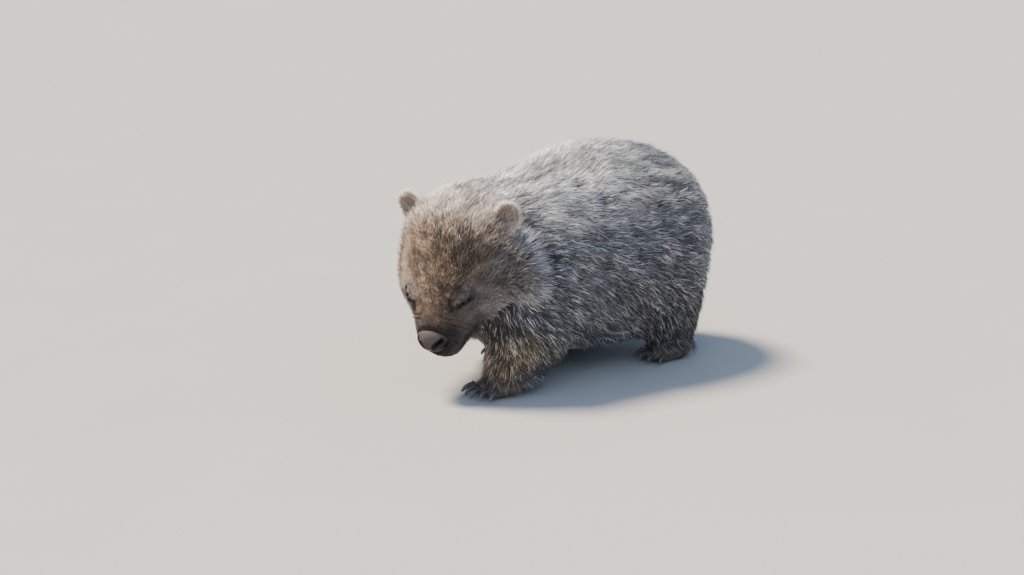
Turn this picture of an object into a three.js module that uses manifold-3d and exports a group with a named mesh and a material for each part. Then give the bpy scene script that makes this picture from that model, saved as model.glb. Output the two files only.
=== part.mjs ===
// A common wombat, life size, in the middle of a slow step with its head held low.
// Millimetres, +Z up. The nose points to -Y and the animal's own left is +X.
// The origin is on the floor under the middle of the whole animal.
import * as THREE from 'three';
import { mergeVertices } from 'three/addons/utils/BufferGeometryUtils.js';
import Module from 'manifold-3d';

const wasm = await Module();
wasm.setup();

// Driving sizes of the body, to the tips of the coat.
const BACK_HEIGHT = 372;
const BELLY_HEIGHT = 46;
const BODY_WIDTH = 300;
const RUMP_BACK = 336;
const BACK_PEAK = 112;
const CHEST_WIDTH = 250;
const CHEST_AHEAD = 185;

// The head: where the crown between the ears is, how the head is turned, and its sizes.
const CROWN = { left: 17, ahead: 189, up: 303 };
const HEAD_YAW = 22;
const HEAD_PITCH = 66;
const HEAD_LENGTH = 232;
const HEAD_WIDTH = 200;
const SNOUT_ROOT = 162;
const EAR_SPACING = 164;
const EAR_HEIGHT = 44;
const EAR_WIDTH = 44;
const EYE_ALONG = 143;
const EYE_RADIUS = 8;
const NOSE_WIDTH = 58;
const NOSTRIL_SPACING = 30;

// Where the middle of each palm or sole stands, and how high the wrist or ankle is.
const FORE_LEFT = { left: 84, ahead: 154 };
const FORE_RIGHT = { left: -64, ahead: -2 };
const HIND_LEFT = { left: 104, ahead: -194 };
const HIND_RIGHT = { left: -66, ahead: -102 };
const PAW_HEIGHT = 36;
const FORE_CLAW = 26;
const HIND_CLAW = 20;
const CLAW_SIDES = 5;

// The long, bristly coat of the cheeks, elbows, belly and thighs, as locks: length, width and thickness.
const RUFF_LOCK = [66, 36, 8];
const RUFF_ROWS = [8, 34];
const RUFF_ROUND = [13, -54];
const RUFF_COUNT = 6;
const ELBOW_LOCK = [36, 28, 7];
const BELLY_LOCK = [38, 29, 7];
const THIGH_LOCK = [42, 32, 7];
const LOCK_SHAPE = [0.8, 1, 0.72, 0.1];
const LOCK_SUNK = 7;
const LOCK_CLEARANCE = 1;
const SEED = 13;

// The gap kept where two nodes meet.
const GAP = 0.3;

// Vertices nearer to each other than this become one.
const NEAREST = 0.02;

// Lengths of a side of the grid on which each kind of form is drawn.
const TRUNK_STEP = 28.4;
const NECK_STEP = 20;
const HEAD_STEP = 15.6;
const LEG_STEP = 17.5;
const PAW_STEP = 8.7;
const SNOUT_STEP = 8.8;
const NOSE_STEP = 6.5;
const TAIL_STEP = 9;

const COLOURS = {
  coat: 0x8f8377,
  face: 0x8a6f52,
  foot: 0x4a3a30,
  claw: 0x6d7480,
  nose: 0x3a302c,
  eye: 0x0d0a09,
  ear: 0x9c8266,
};

const ROUGHNESS = {
  coat: 0.9,
  face: 0.9,
  foot: 0.85,
  claw: 0.45,
  nose: 0.5,
  eye: 0.15,
  ear: 0.8,
};

const radians = THREE.MathUtils.degToRad;

// A point given by how far it is to the animal's left, ahead of the middle and up.
function at(left, ahead, up) {
  return new THREE.Vector3(left, -ahead, up);
}

// The head's own frame: x to its left, y back along the face, z out of the forehead.
const headFrame = new THREE.Matrix4().makeRotationFromEuler(
  new THREE.Euler(radians(HEAD_PITCH), 0, radians(HEAD_YAW), 'ZYX'),
);
headFrame.setPosition(at(CROWN.left, CROWN.ahead, CROWN.up));

// A point on the head: to its left, down the face towards the nose, and out of the forehead.
function onHead(left, noseward, out) {
  return at(left, noseward, out).applyMatrix4(headFrame);
}

// A direction given in the head's own frame.
function headWay(left, noseward, out) {
  return onHead(left, noseward, out).sub(onHead(0, 0, 0)).normalize();
}

const headTurn = new THREE.Quaternion().setFromRotationMatrix(headFrame);

// Fields: each is a function of x, y, z that is below zero inside the form.

function oval(centre, radii, turn = new THREE.Quaternion()) {
  const back = turn.clone().invert();
  const point = new THREE.Vector3();
  const [across, along, high] = radii;
  return (x, y, z) => {
    point.set(x - centre.x, y - centre.y, z - centre.z).applyQuaternion(back);
    const u = point.x / across;
    const v = point.y / along;
    const w = point.z / high;
    const near = Math.hypot(u, v, w);
    const slope = Math.hypot(u / across, v / along, w / high);
    return slope < 1e-9 ? -Math.min(across, along, high) : (near * (near - 1)) / slope;
  };
}

function limb(start, end, startRadius, endRadius) {
  const axis = end.clone().sub(start);
  const reach = axis.lengthSq();
  return (x, y, z) => {
    const dot = (x - start.x) * axis.x + (y - start.y) * axis.y + (z - start.z) * axis.z;
    const part = Math.min(1, Math.max(0, dot / reach));
    const dx = x - start.x - axis.x * part;
    const dy = y - start.y - axis.y * part;
    const dz = z - start.z - axis.z * part;
    return Math.hypot(dx, dy, dz) - startRadius - (endRadius - startRadius) * part;
  };
}

// Two or more fields melted together over a given width.
function melt(width, ...fields) {
  return (x, y, z) => {
    let value = fields[0](x, y, z);
    for (let index = 1; index < fields.length; index += 1) {
      const other = fields[index](x, y, z);
      const mix = Math.max(width - Math.abs(value - other), 0) / width;
      value = Math.min(value, other) - (mix * mix * width) / 4;
    }
    return value;
  };
}

// A field with a second one pressed into it, its edge rounded over a given width.
function pressed(width, field, tool) {
  return (x, y, z) => {
    const value = field(x, y, z);
    const other = -tool(x, y, z);
    const mix = Math.max(width - Math.abs(value - other), 0) / width;
    return Math.max(value, other) + (mix * mix * width) / 4;
  };
}

// Draws the closed surface of a field inside a box, with one vertex in each cell it crosses.
function surfaceOf(field, cornerA, cornerB, step) {
  const low = cornerA.clone().min(cornerB);
  const high = cornerA.clone().max(cornerB);
  const counts = ['x', 'y', 'z'].map((axis) => Math.ceil((high[axis] - low[axis]) / step) + 1);
  const [nx, ny, nz] = counts;
  const values = new Float64Array(nx * ny * nz);
  const indexOf = (i, j, k) => i + nx * (j + ny * k);
  const shut = (x, y, z) => Math.max(
    low.x + step - x, x - low.x - step * (nx - 2),
    low.y + step - y, y - low.y - step * (ny - 2),
    low.z + step - z, z - low.z - step * (nz - 2),
  );
  const inside = (x, y, z) => Math.max(field(x, y, z), shut(x, y, z));
  for (let k = 0; k < nz; k += 1) {
    for (let j = 0; j < ny; j += 1) {
      for (let i = 0; i < nx; i += 1) {
        const value = inside(low.x + i * step, low.y + j * step, low.z + k * step);
        values[indexOf(i, j, k)] = Math.abs(value) < 1e-6 ? 1e-6 : value;
      }
    }
  }
  const corners = [0, 1, 2, 3, 4, 5, 6, 7].map((bits) => [bits & 1, (bits >> 1) & 1, (bits >> 2) & 1]);
  const edges = [];
  for (let a = 0; a < 8; a += 1) {
    for (const bit of [1, 2, 4]) {
      if (!(a & bit)) edges.push([a, a | bit]);
    }
  }
  const cellVertex = new Int32Array(nx * ny * nz).fill(-1);
  const positions = [];
  for (let k = 0; k < nz - 1; k += 1) {
    for (let j = 0; j < ny - 1; j += 1) {
      for (let i = 0; i < nx - 1; i += 1) {
        const point = [0, 0, 0];
        let crossings = 0;
        for (const [a, b] of edges) {
          const first = values[indexOf(i + corners[a][0], j + corners[a][1], k + corners[a][2])];
          const second = values[indexOf(i + corners[b][0], j + corners[b][1], k + corners[b][2])];
          if (first < 0 === second < 0) continue;
          const part = first / (first - second);
          for (let axis = 0; axis < 3; axis += 1) {
            point[axis] += corners[a][axis] + part * (corners[b][axis] - corners[a][axis]);
          }
          crossings += 1;
        }
        if (crossings === 0) continue;
        cellVertex[indexOf(i, j, k)] = positions.length / 3;
        positions.push(
          low.x + step * (i + point[0] / crossings),
          low.y + step * (j + point[1] / crossings),
          low.z + step * (k + point[2] / crossings),
        );
      }
    }
  }
  settle(positions, inside, step);
  const triangles = [];
  const strides = [[1, 0, 0], [0, 1, 0], [0, 0, 1]];
  for (let k = 1; k < nz - 1; k += 1) {
    for (let j = 1; j < ny - 1; j += 1) {
      for (let i = 1; i < nx - 1; i += 1) {
        for (let axis = 0; axis < 3; axis += 1) {
          const [di, dj, dk] = strides[axis];
          const here = values[indexOf(i, j, k)] < 0;
          const there = values[indexOf(i + di, j + dj, k + dk)] < 0;
          if (here === there) continue;
          const [ai, aj, ak] = strides[(axis + 1) % 3];
          const [bi, bj, bk] = strides[(axis + 2) % 3];
          const ring = [
            cellVertex[indexOf(i, j, k)],
            cellVertex[indexOf(i - ai, j - aj, k - ak)],
            cellVertex[indexOf(i - ai - bi, j - aj - bj, k - ak - bk)],
            cellVertex[indexOf(i - bi, j - bj, k - bk)],
          ];
          if (there) ring.reverse();
          triangles.push(...splitQuad(positions, ring));
        }
      }
    }
  }
  return geometryFrom(positions, triangles);
}

// Moves each vertex onto the surface itself, by less than half a cell.
function settle(positions, field, step) {
  const reach = step * 0.5;
  const delta = step * 0.02;
  for (let index = 0; index < positions.length; index += 3) {
    const [x, y, z] = positions.slice(index, index + 3);
    const value = field(x, y, z);
    const gx = (field(x + delta, y, z) - value) / delta;
    const gy = (field(x, y + delta, z) - value) / delta;
    const gz = (field(x, y, z + delta) - value) / delta;
    const slope = Math.max(gx * gx + gy * gy + gz * gz, 0.2);
    const move = THREE.MathUtils.clamp(value / slope, -reach, reach);
    positions[index] = x - gx * move;
    positions[index + 1] = y - gy * move;
    positions[index + 2] = z - gz * move;
  }
}

// Splits a four-sided ring of vertices along its shorter diagonal.
function splitQuad(positions, ring) {
  const point = (index) => new THREE.Vector3().fromArray(positions, ring[index] * 3);
  const first = point(0).distanceToSquared(point(2));
  const second = point(1).distanceToSquared(point(3));
  const [a, b, c, d] = first <= second ? ring : [ring[1], ring[2], ring[3], ring[0]];
  return [a, b, c, a, c, d];
}

function geometryFrom(positions, triangles) {
  const geometry = new THREE.BufferGeometry();
  geometry.setAttribute('position', new THREE.Float32BufferAttribute(positions, 3));
  geometry.setIndex(triangles);
  return geometry;
}

// Solids: a geometry as a solid that can be joined and cut, and back.

function solidOf(geometry) {
  const bare = new THREE.BufferGeometry();
  bare.setAttribute('position', geometry.getAttribute('position'));
  bare.setIndex(geometry.getIndex());
  const merged = mergeVertices(bare, 1e-4);
  return new wasm.Manifold(new wasm.Mesh({
    numProp: 3,
    vertProperties: new Float32Array(merged.getAttribute('position').array),
    triVerts: new Uint32Array(merged.getIndex().array),
  }));
}

// The largest closed surface of a solid, which drops loose scraps and sealed hollows.
function largestOf(solid) {
  const pieces = solid.decompose();
  return pieces.reduce((best, piece) => (piece.volume() > best.volume() ? piece : best));
}

function geometryOf(solid) {
  const mesh = largestOf(solid).getMesh();
  const bare = geometryFrom(Array.from(mesh.vertProperties), Array.from(mesh.triVerts));
  const merged = mergeVertices(bare, NEAREST);
  const corners = Array.from(merged.getIndex().array);
  const triangles = [];
  for (let index = 0; index < corners.length; index += 3) {
    const [a, b, c] = corners.slice(index, index + 3);
    if (a !== b && b !== c && c !== a) triangles.push(a, b, c);
  }
  merged.setIndex(triangles);
  return merged;
}

// The same surface with every vertex moved out by a margin.
function grown(geometry, margin) {
  const wider = geometry.clone();
  wider.computeVertexNormals();
  const normals = wider.getAttribute('normal');
  const places = wider.getAttribute('position');
  for (let index = 0; index < places.count; index += 1) {
    places.setXYZ(
      index,
      places.getX(index) + normals.getX(index) * margin,
      places.getY(index) + normals.getY(index) * margin,
      places.getZ(index) + normals.getZ(index) * margin,
    );
  }
  return wider;
}

// A closed skin over a row of rings of like counts, each end shut by strips across its ring.
function loft(rings) {
  const count = rings[0].length;
  const positions = rings.flat().flatMap((point) => [point.x, point.y, point.z]);
  const triangles = [];
  for (let row = 0; row < rings.length - 1; row += 1) {
    for (let index = 0; index < count; index += 1) {
      const next = (index + 1) % count;
      const near = row * count;
      const far = near + count;
      triangles.push(...splitQuad(positions, [near + index, near + next, far + next, far + index]));
    }
  }
  for (const [start, turned] of [[0, true], [(rings.length - 1) * count, false]]) {
    for (let index = 0; index < count / 2 - 1; index += 1) {
      const far = count - 1 - index;
      const strip = [[index, index + 1, far - 1], [index, far - 1, far]];
      for (const [a, b, c] of strip) {
        if (b === c) continue;
        triangles.push(start + a, start + (turned ? c : b), start + (turned ? b : c));
      }
    }
  }
  if (volumeOf(positions, triangles) < 0) triangles.reverse();
  return geometryFrom(positions, triangles);
}

function volumeOf(positions, triangles) {
  const point = (index) => new THREE.Vector3().fromArray(positions, triangles[index] * 3);
  let volume = 0;
  for (let index = 0; index < triangles.length; index += 3) {
    volume += point(index).dot(point(index + 1).cross(point(index + 2))) / 6;
  }
  return volume;
}

// Where a straight line from inside a field first leaves it.
function onSurface(field, from, toward) {
  const direction = toward.clone().normalize();
  const along = (distance) => from.clone().addScaledVector(direction, distance);
  const isInside = (distance) => field(...along(distance).toArray()) < 0;
  const stride = 4;
  let near = 0;
  while (isInside(near + stride)) near += stride;
  let far = near + stride;
  for (let round = 0; round < 20; round += 1) {
    const middle = (near + far) / 2;
    if (isInside(middle)) near = middle;
    else far = middle;
  }
  return along(near);
}

// A large block that fills the side of a plane that its normal points to.
function beyond(point, normal, offset = 0) {
  const size = 2000;
  const block = new THREE.BoxGeometry(size, size, size);
  block.translate(0, 0, size / 2 + offset);
  block.applyQuaternion(new THREE.Quaternion().setFromUnitVectors(new THREE.Vector3(0, 0, 1), normal));
  block.translate(point.x, point.y, point.z);
  return solidOf(block);
}

// A block between two corners, grown by a margin on every side.
function block(low, high, margin = 0) {
  const box = new THREE.Box3().setFromPoints([low, high]).expandByScalar(margin);
  const size = box.getSize(new THREE.Vector3());
  const middle = box.getCenter(new THREE.Vector3());
  const geometry = new THREE.BoxGeometry(size.x, size.y, size.z);
  geometry.translate(middle.x, middle.y, middle.z);
  return solidOf(geometry);
}

// The two sides of a thin cut: what is ahead of the plane, and what is behind it.
function cutAt(point, normal) {
  const forward = normal.clone().normalize();
  return {
    ahead: beyond(point, forward, GAP / 2),
    behind: beyond(point, forward.clone().negate(), GAP / 2),
  };
}

const aboveFloor = beyond(at(0, 0, 0), new THREE.Vector3(0, 0, 1));

// The trunk: a deep barrel, a round rump, a narrower chest and the low swell of each flank.
const trunkDepth = (BACK_HEIGHT - BELLY_HEIGHT) / 2;
const trunkMiddle = (BACK_HEIGHT + BELLY_HEIGHT) / 2;
const barrel = oval(at(0, -BACK_PEAK, trunkMiddle), [BODY_WIDTH / 2, 226, trunkDepth]);
const rump = oval(at(0, -RUMP_BACK + 128, trunkMiddle - 20), [BODY_WIDTH * 0.46, 128, trunkDepth * 0.9]);
const chest = oval(at(0, CHEST_AHEAD - 125, trunkMiddle - 26), [CHEST_WIDTH / 2, 125, trunkDepth * 0.84]);
const flanks = [-1, 1].map((side) => oval(at(side * 54, -86, 124), [84, 206, 84]));
const trunk = melt(50, barrel, rump, chest, ...flanks);

// The head, in its own frame: broad cheeks and brow, and a blunt, deep muzzle.
const cranium = oval(onHead(0, 40, -44), [HEAD_WIDTH * 0.48, 78, 66], headTurn);
const brow = oval(onHead(0, 106, -48), [HEAD_WIDTH * 0.4, 88, 54], headTurn);
const cheeks = [-1, 1].map((side) => {
  return oval(onHead(side * HEAD_WIDTH * 0.26, 92, -62), [HEAD_WIDTH * 0.26, 66, 56], headTurn);
});
const muzzle = limb(onHead(0, 130, -50), onHead(0, HEAD_LENGTH - 44, -46), 54, 42);
const jaw = limb(onHead(0, 110, -86), onHead(0, HEAD_LENGTH - 28, -68), 44, 25);
const skull = melt(26, cranium, ...cheeks, brow, muzzle, jaw);
const neck = limb(at(4, 74, 216), onHead(0, 30, -90), 120, 90);
const headAndNeck = melt(36, neck, skull);

// A leg from the shoulder or hip down to the wrist or ankle.
const joint = (left, ahead, up, radius) => ({ centre: at(left, ahead, up), radius });

function leg(joints) {
  const lengths = joints.slice(1).map((end, index) => {
    const start = joints[index];
    return limb(start.centre, end.centre, start.radius, end.radius);
  });
  return melt(16, ...lengths);
}

// A paw: a broad pad and a fan of round toes, each with the place and line of its claw.
function paw({ stand, padLength, padWidth, toes, spread, reach }) {
  const pad = limb(
    at(stand.left, stand.ahead - padLength / 2, 20),
    at(stand.left, stand.ahead + padLength / 4, 17),
    padWidth / 2,
    padWidth / 2,
  );
  const middle = (toes - 1) / 2;
  const digits = Array.from({ length: toes }, (_, index) => {
    const turn = (index - middle) / middle;
    const heading = at(turn * 0.42, 1, 0).normalize();
    const forward = stand.ahead + reach * (1 - 0.22 * turn * turn) - 12;
    const knuckle = at(stand.left + turn * spread, forward, 12);
    return { heading, knuckle, tip: knuckle.clone().addScaledVector(heading, 12) };
  });
  const toeFields = digits.map(({ knuckle, tip }) => limb(knuckle, tip, 9.5, 8));
  return { field: melt(5, pad, ...toeFields), digits };
}

const foreShape = { padLength: 24, padWidth: 54, toes: 5, spread: 23, reach: 30 };
const hindShape = { padLength: 44, padWidth: 50, toes: 4, spread: 19, reach: 32 };

const limbs = {
  fore_left: {
    side: 1,
    stand: FORE_LEFT,
    shape: foreShape,
    claw: FORE_CLAW,
    wedge: [40, 240],
    joints: [
      joint(60, 88, 160, 68),
      joint(88, 92, 82, 58),
      joint(FORE_LEFT.left + 3, FORE_LEFT.ahead - 28, 50, 45),
      joint(FORE_LEFT.left, FORE_LEFT.ahead - 10, 24, 31),
    ],
  },
  fore_right: {
    side: -1,
    stand: FORE_RIGHT,
    shape: foreShape,
    claw: FORE_CLAW,
    wedge: [-52, 120],
    joints: [
      joint(-60, 66, 160, 66),
      joint(-78, 32, 90, 55),
      joint(FORE_RIGHT.left - 3, FORE_RIGHT.ahead - 20, 50, 44),
      joint(FORE_RIGHT.left, FORE_RIGHT.ahead - 8, 24, 31),
    ],
  },
  hind_left: {
    side: 1,
    stand: HIND_LEFT,
    shape: hindShape,
    claw: HIND_CLAW,
    wedge: [-380, -118],
    joints: [
      joint(60, -206, 150, 90),
      joint(88, -204, 88, 60),
      joint(HIND_LEFT.left - 4, HIND_LEFT.ahead - 26, 44, 36),
      joint(HIND_LEFT.left, HIND_LEFT.ahead - 20, 24, 26),
    ],
  },
  hind_right: {
    side: -1,
    stand: HIND_RIGHT,
    shape: hindShape,
    claw: HIND_CLAW,
    wedge: [-380, -60],
    joints: [
      joint(-60, -184, 150, 88),
      joint(-76, -144, 88, 58),
      joint(HIND_RIGHT.left - 4, HIND_RIGHT.ahead - 28, 44, 36),
      joint(HIND_RIGHT.left, HIND_RIGHT.ahead - 20, 24, 26),
    ],
  },
};
for (const limbPart of Object.values(limbs)) {
  limbPart.paw = paw({ stand: limbPart.stand, ...limbPart.shape });
  limbPart.field = melt(12, leg(limbPart.joints), limbPart.paw.field);
}

// The trunk and its legs as one, without the head.
const limbFields = Object.values(limbs).map((limbPart) => limbPart.field);
const body = melt(26, melt(50, trunk, neck), ...limbFields);

// The whole animal as one.
const whole = melt(26, melt(50, trunk, headAndNeck), ...limbFields);

// The parting planes along the body.
const headAhead = headWay(0, 1, 0.2);
const headCutPoint = onHead(0, -4, -96);
const headCut = cutAt(headCutPoint, headAhead);
const neckCut = cutAt(at(4, 122, 240), at(0.1, 0.95, 0.3));
const snoutCut = cutAt(onHead(0, SNOUT_ROOT, -40), headWay(0, 1, 0));
const wristCut = cutAt(at(0, 0, PAW_HEIGHT), new THREE.Vector3(0, 0, 1));

const parts = [];

function addPart(name, solid, material) {
  parts.push({ name, geometry: geometryOf(solid), material });
}

// The surface of a field in a box round a point.
function surfaceAround(field, middle, reach, step) {
  return surfaceOf(field, middle.clone().sub(reach), middle.clone().add(reach), step);
}

function solidAround(field, middle, reach, step) {
  return solidOf(surfaceAround(field, middle, reach, step));
}

// The head, drawn once coarsely for the skull and once finely for the snout.
const headLow = new THREE.Vector3(-150, -350, 40);
const headHigh = new THREE.Vector3(190, -40, 380);
const headSurface = surfaceOf(headAndNeck, headLow, headHigh, HEAD_STEP);
const headRoom = beyond(headCutPoint, headAhead, -GAP / 2);
const headClearance = solidOf(grown(headSurface, GAP * 2)).intersect(headRoom);
let head = solidOf(headSurface).intersect(headCut.ahead).intersect(snoutCut.behind);

const snoutMiddle = onHead(0, HEAD_LENGTH - 30, -58);
const snoutSurface = surfaceAround(skull, snoutMiddle, new THREE.Vector3(90, 90, 90), SNOUT_STEP);
const mouth = mouthGroove();
const snout = solidOf(snoutSurface).intersect(snoutCut.ahead).subtract(mouth);

// The line of the mouth, as a thin wedge that runs round the front of the muzzle under the nose.
function mouthGroove() {
  const heart = onHead(0, HEAD_LENGTH - 66, -66);
  const up = headWay(0, 0, 1);
  const rings = [];
  const steps = 14;
  for (let index = 0; index <= steps; index += 1) {
    const turn = (index / steps - 0.5) * 2;
    const angle = turn * radians(96);
    const toward = headWay(Math.sin(angle), Math.cos(angle), -0.12 - 0.16 * turn * turn);
    const point = onSurface(skull, heart, toward);
    rings.push([
      point.clone().addScaledVector(toward, 4).addScaledVector(up, 2.4),
      point.clone().addScaledVector(toward, -6),
      point.clone().addScaledVector(toward, 4).addScaledVector(up, -2.4),
      point.clone().addScaledVector(toward, 6),
    ]);
  }
  return solidOf(loft(rings));
}

// A seeded source of small random differences between locks.
let seed = SEED;
function chance(low, high) {
  seed = (seed * 16807) % 2147483647;
  return low + (high - low) * (seed / 2147483647);
}

// The direction straight out of a field at a point.
function outOf(field, point) {
  const { x, y, z } = point;
  const here = field(x, y, z);
  const slope = [field(x + 1, y, z) - here, field(x, y + 1, z) - here, field(x, y, z + 1) - here];
  return new THREE.Vector3(...slope).normalize();
}

// Moves a point to a height over a field, or, where it may hang free, only out to that height.
function placeOver(field, point, height, hangs) {
  for (let round = 0; round < 3; round += 1) {
    const short = height - field(point.x, point.y, point.z);
    if (short > 0 || !hangs) point.addScaledVector(outOf(field, point), short);
  }
}

// A flat lock of coat, wide near its sunk root and tapering to its tip, which lies along a line, bends
// over the surface that it crosses and stands a little off it at the tip.
function lock(field, root, lie, [length, width, thickness], lift, hangs = false) {
  const last = LOCK_SHAPE.length - 1;
  const reach = (length * chance(0.85, 1.12)) / last;
  const sway = chance(-2, 2);
  const path = root.clone();
  return solidOf(loft(LOCK_SHAPE.map((share, row) => {
    const part = row / last;
    const out = outOf(field, path);
    const along = lie.clone().addScaledVector(out, -lie.dot(out)).normalize();
    const across = new THREE.Vector3().crossVectors(out, along);
    const flat = (width / 2) * share;
    const thick = (thickness / 2) * (1 - 0.75 * part);
    const centre = path.clone();
    if (row === 0) centre.addScaledVector(out, -LOCK_SUNK).addScaledVector(along, -LOCK_SUNK);
    else placeOver(field, centre, thick + LOCK_CLEARANCE * 3 + lift * part, hangs);
    path.copy(row === 0 ? path : centre)
      .addScaledVector(along, reach)
      .addScaledVector(across, sway);
    return [
      centre.clone().addScaledVector(across, flat),
      centre.clone().addScaledVector(out, thick),
      centre.clone().addScaledVector(across, -flat),
      centre.clone().addScaledVector(out, -thick),
    ];
  })));
}

// The root of a ruff lock on one cheek: how far round the cheek it is, and how far down the face.
function cheekRoot(side, angle, along) {
  const toward = headWay(side * Math.cos(angle), 0, Math.sin(angle));
  return onSurface(headAndNeck, onHead(0, along, -64), toward);
}

// The line where one cheek stands clear of the body, from below the ear round to the throat.
function cheekEdge(side) {
  const [start, end, steps] = [RUFF_ROUND[0], RUFF_ROUND[1], 60];
  return Array.from({ length: steps + 1 }, (_, index) => {
    const angle = radians(start + ((end - start) * index) / steps);
    let along = 0;
    let place = cheekRoot(side, angle, along);
    while (along < SNOUT_ROOT && body(...place.toArray()) < LOCK_CLEARANCE * 4) {
      along += 3;
      place = cheekRoot(side, angle, along);
    }
    return { angle, along, place };
  });
}

// The ruff of each cheek, in staggered rows that sweep back over the neck and the shoulder.
function ruffLocks() {
  const locks = [];
  for (const side of [-1, 1]) {
    const edge = cheekEdge(side);
    const distances = [0];
    for (let index = 1; index < edge.length; index += 1) {
      distances.push(distances[index - 1] + edge[index].place.distanceTo(edge[index - 1].place));
    }
    RUFF_ROWS.forEach((ahead, row) => {
      for (let index = 0; index < RUFF_COUNT - row; index += 1) {
        const part = (index + row * 0.5 + 0.25) / RUFF_COUNT;
        const { angle, along } = edge[distances.findIndex((distance) => distance >= part * distances.at(-1))];
        const root = cheekRoot(side, angle, Math.min(along + ahead, SNOUT_ROOT - RUFF_LOCK[1]));
        locks.push(lock(whole, root, headWay(side * 0.2, -1, -0.4), RUFF_LOCK, 5));
      }
    });
  }
  return locks;
}

// The bare nose pad, set on the front of the muzzle, with a nostril pressed in on each side.
const noseHeart = onHead(0, HEAD_LENGTH - 26, -30);
const nosePad = oval(noseHeart, [NOSE_WIDTH / 2, 24, 23], headTurn);
const nostrils = [-1, 1].map((side) => limb(
  onHead(side * NOSTRIL_SPACING * 0.5, HEAD_LENGTH - 2, -34),
  onHead(side * NOSTRIL_SPACING * 0.78, HEAD_LENGTH - 6, -26),
  5,
  3.5,
));
const noseField = pressed(3, nosePad, melt(1, ...nostrils));
const noseSolid = solidAround(noseField, noseHeart, new THREE.Vector3(45, 45, 45), NOSE_STEP);
addPart('nose', noseSolid.subtract(solidOf(grown(snoutSurface, GAP))), 'nose');

// Each eye, deep in its socket between a heavy upper and lower lid.
for (const [side, name] of [[1, 'eye_left'], [-1, 'eye_right']]) {
  const outward = headWay(side * 0.93, 0.04, 0.37);
  const inner = onHead(side * 12, EYE_ALONG, -30);
  const surface = onSurface(skull, inner, outward);
  const centre = surface.clone().addScaledVector(outward, -EYE_RADIUS * 0.9);
  const ball = (radius) => {
    const sphere = new THREE.SphereGeometry(radius, 10, 7);
    sphere.translate(centre.x, centre.y, centre.z);
    return solidOf(sphere);
  };
  const slit = new THREE.SphereGeometry(1, 10, 7);
  slit.scale(EYE_RADIUS * 1.05, EYE_RADIUS * 0.42, EYE_RADIUS * 1.6);
  slit.applyQuaternion(slitTurn(side, outward));
  slit.translate(surface.x, surface.y, surface.z);
  head = head.add(ball(EYE_RADIUS + 3.2)).subtract(solidOf(slit)).subtract(ball(EYE_RADIUS + GAP));
  addPart(name, ball(EYE_RADIUS), 'eye');
}

// Turns a shape so that z points out of the eye and x runs along the line between the lids.
function slitTurn(side, outward) {
  const along = headWay(side * 0.55, -0.82, 0);
  const across = new THREE.Vector3().crossVectors(outward, along).normalize();
  along.crossVectors(across, outward).normalize();
  return new THREE.Quaternion().setFromRotationMatrix(new THREE.Matrix4().makeBasis(along, across, outward));
}

addPart('snout', snout, 'face');

// An ear: a cupped leaf with a thick rim, open to the front and to its own side.
function ear(side) {
  const foot = onHead((side * EAR_SPACING) / 2, 14, -28);
  const up = headWay(side * 0.5, -0.82, 0.24);
  const open = headWay(side * 0.2, 0.36, 0.9);
  const across = new THREE.Vector3().crossVectors(up, open).normalize();
  open.crossVectors(across, up).normalize();
  const rows = 7;
  const rings = Array.from({ length: rows }, (_, row) => {
    const height = row / (rows - 1);
    const width = EAR_WIDTH * 0.5 * Math.sqrt(1 - Math.max(0, height - 0.3) ** 2 / 0.55);
    const depth = 17 * (1 - 0.75 * height);
    const wall = 5 - 2.4 * height;
    const base = foot.clone().addScaledVector(up, (height - 0.3) * EAR_HEIGHT * 1.3);
    const arc = (radius, dip, angle) => base.clone()
      .addScaledVector(across, Math.sin(angle) * radius)
      .addScaledVector(open, -Math.cos(angle) * dip);
    const angles = [-1.45, -0.9, -0.32, 0.32, 0.9, 1.45];
    const outer = angles.map((angle) => arc(width, depth, angle));
    const inner = angles.map((angle) => arc(width - wall, depth - wall, angle)).reverse();
    return [...outer, ...inner];
  });
  return solidOf(loft(rings));
}
addPart('ear_left', ear(1).subtract(headClearance), 'ear');
addPart('ear_right', ear(-1).subtract(headClearance), 'ear');

// A curved, tapering claw from the tip of a toe to just off the floor.
function claw({ tip, heading }, length) {
  const down = new THREE.Vector3(0, 0, -1);
  const across = new THREE.Vector3().crossVectors(heading, down).normalize();
  const rows = 4;
  const rings = Array.from({ length: rows }, (_, row) => {
    const part = row / (rows - 1);
    const centre = tip.clone()
      .addScaledVector(heading, part * length * 0.86)
      .addScaledVector(down, part * part * 9 - 1.5);
    const radius = 4.6 * (1 - 0.86 * part) + 0.3;
    return Array.from({ length: CLAW_SIDES }, (_unused, index) => {
      const angle = ((index + 0.5) / CLAW_SIDES) * Math.PI * 2;
      return centre.clone()
        .addScaledVector(across, Math.cos(angle) * radius * 0.85)
        .addScaledVector(down, Math.sin(angle) * radius);
    });
  });
  return solidOf(loft(rings));
}

// The wedge of the body that counts as each leg, from the flank down.
function legWedge(side, from, to, margin) {
  const inner = beyond(at(side * 60, 0, 96), at(side * 0.86, 0, -0.52).normalize(), -margin);
  return inner.intersect(block(at(-220, to, -30), at(220, from, 230), margin));
}

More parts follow.
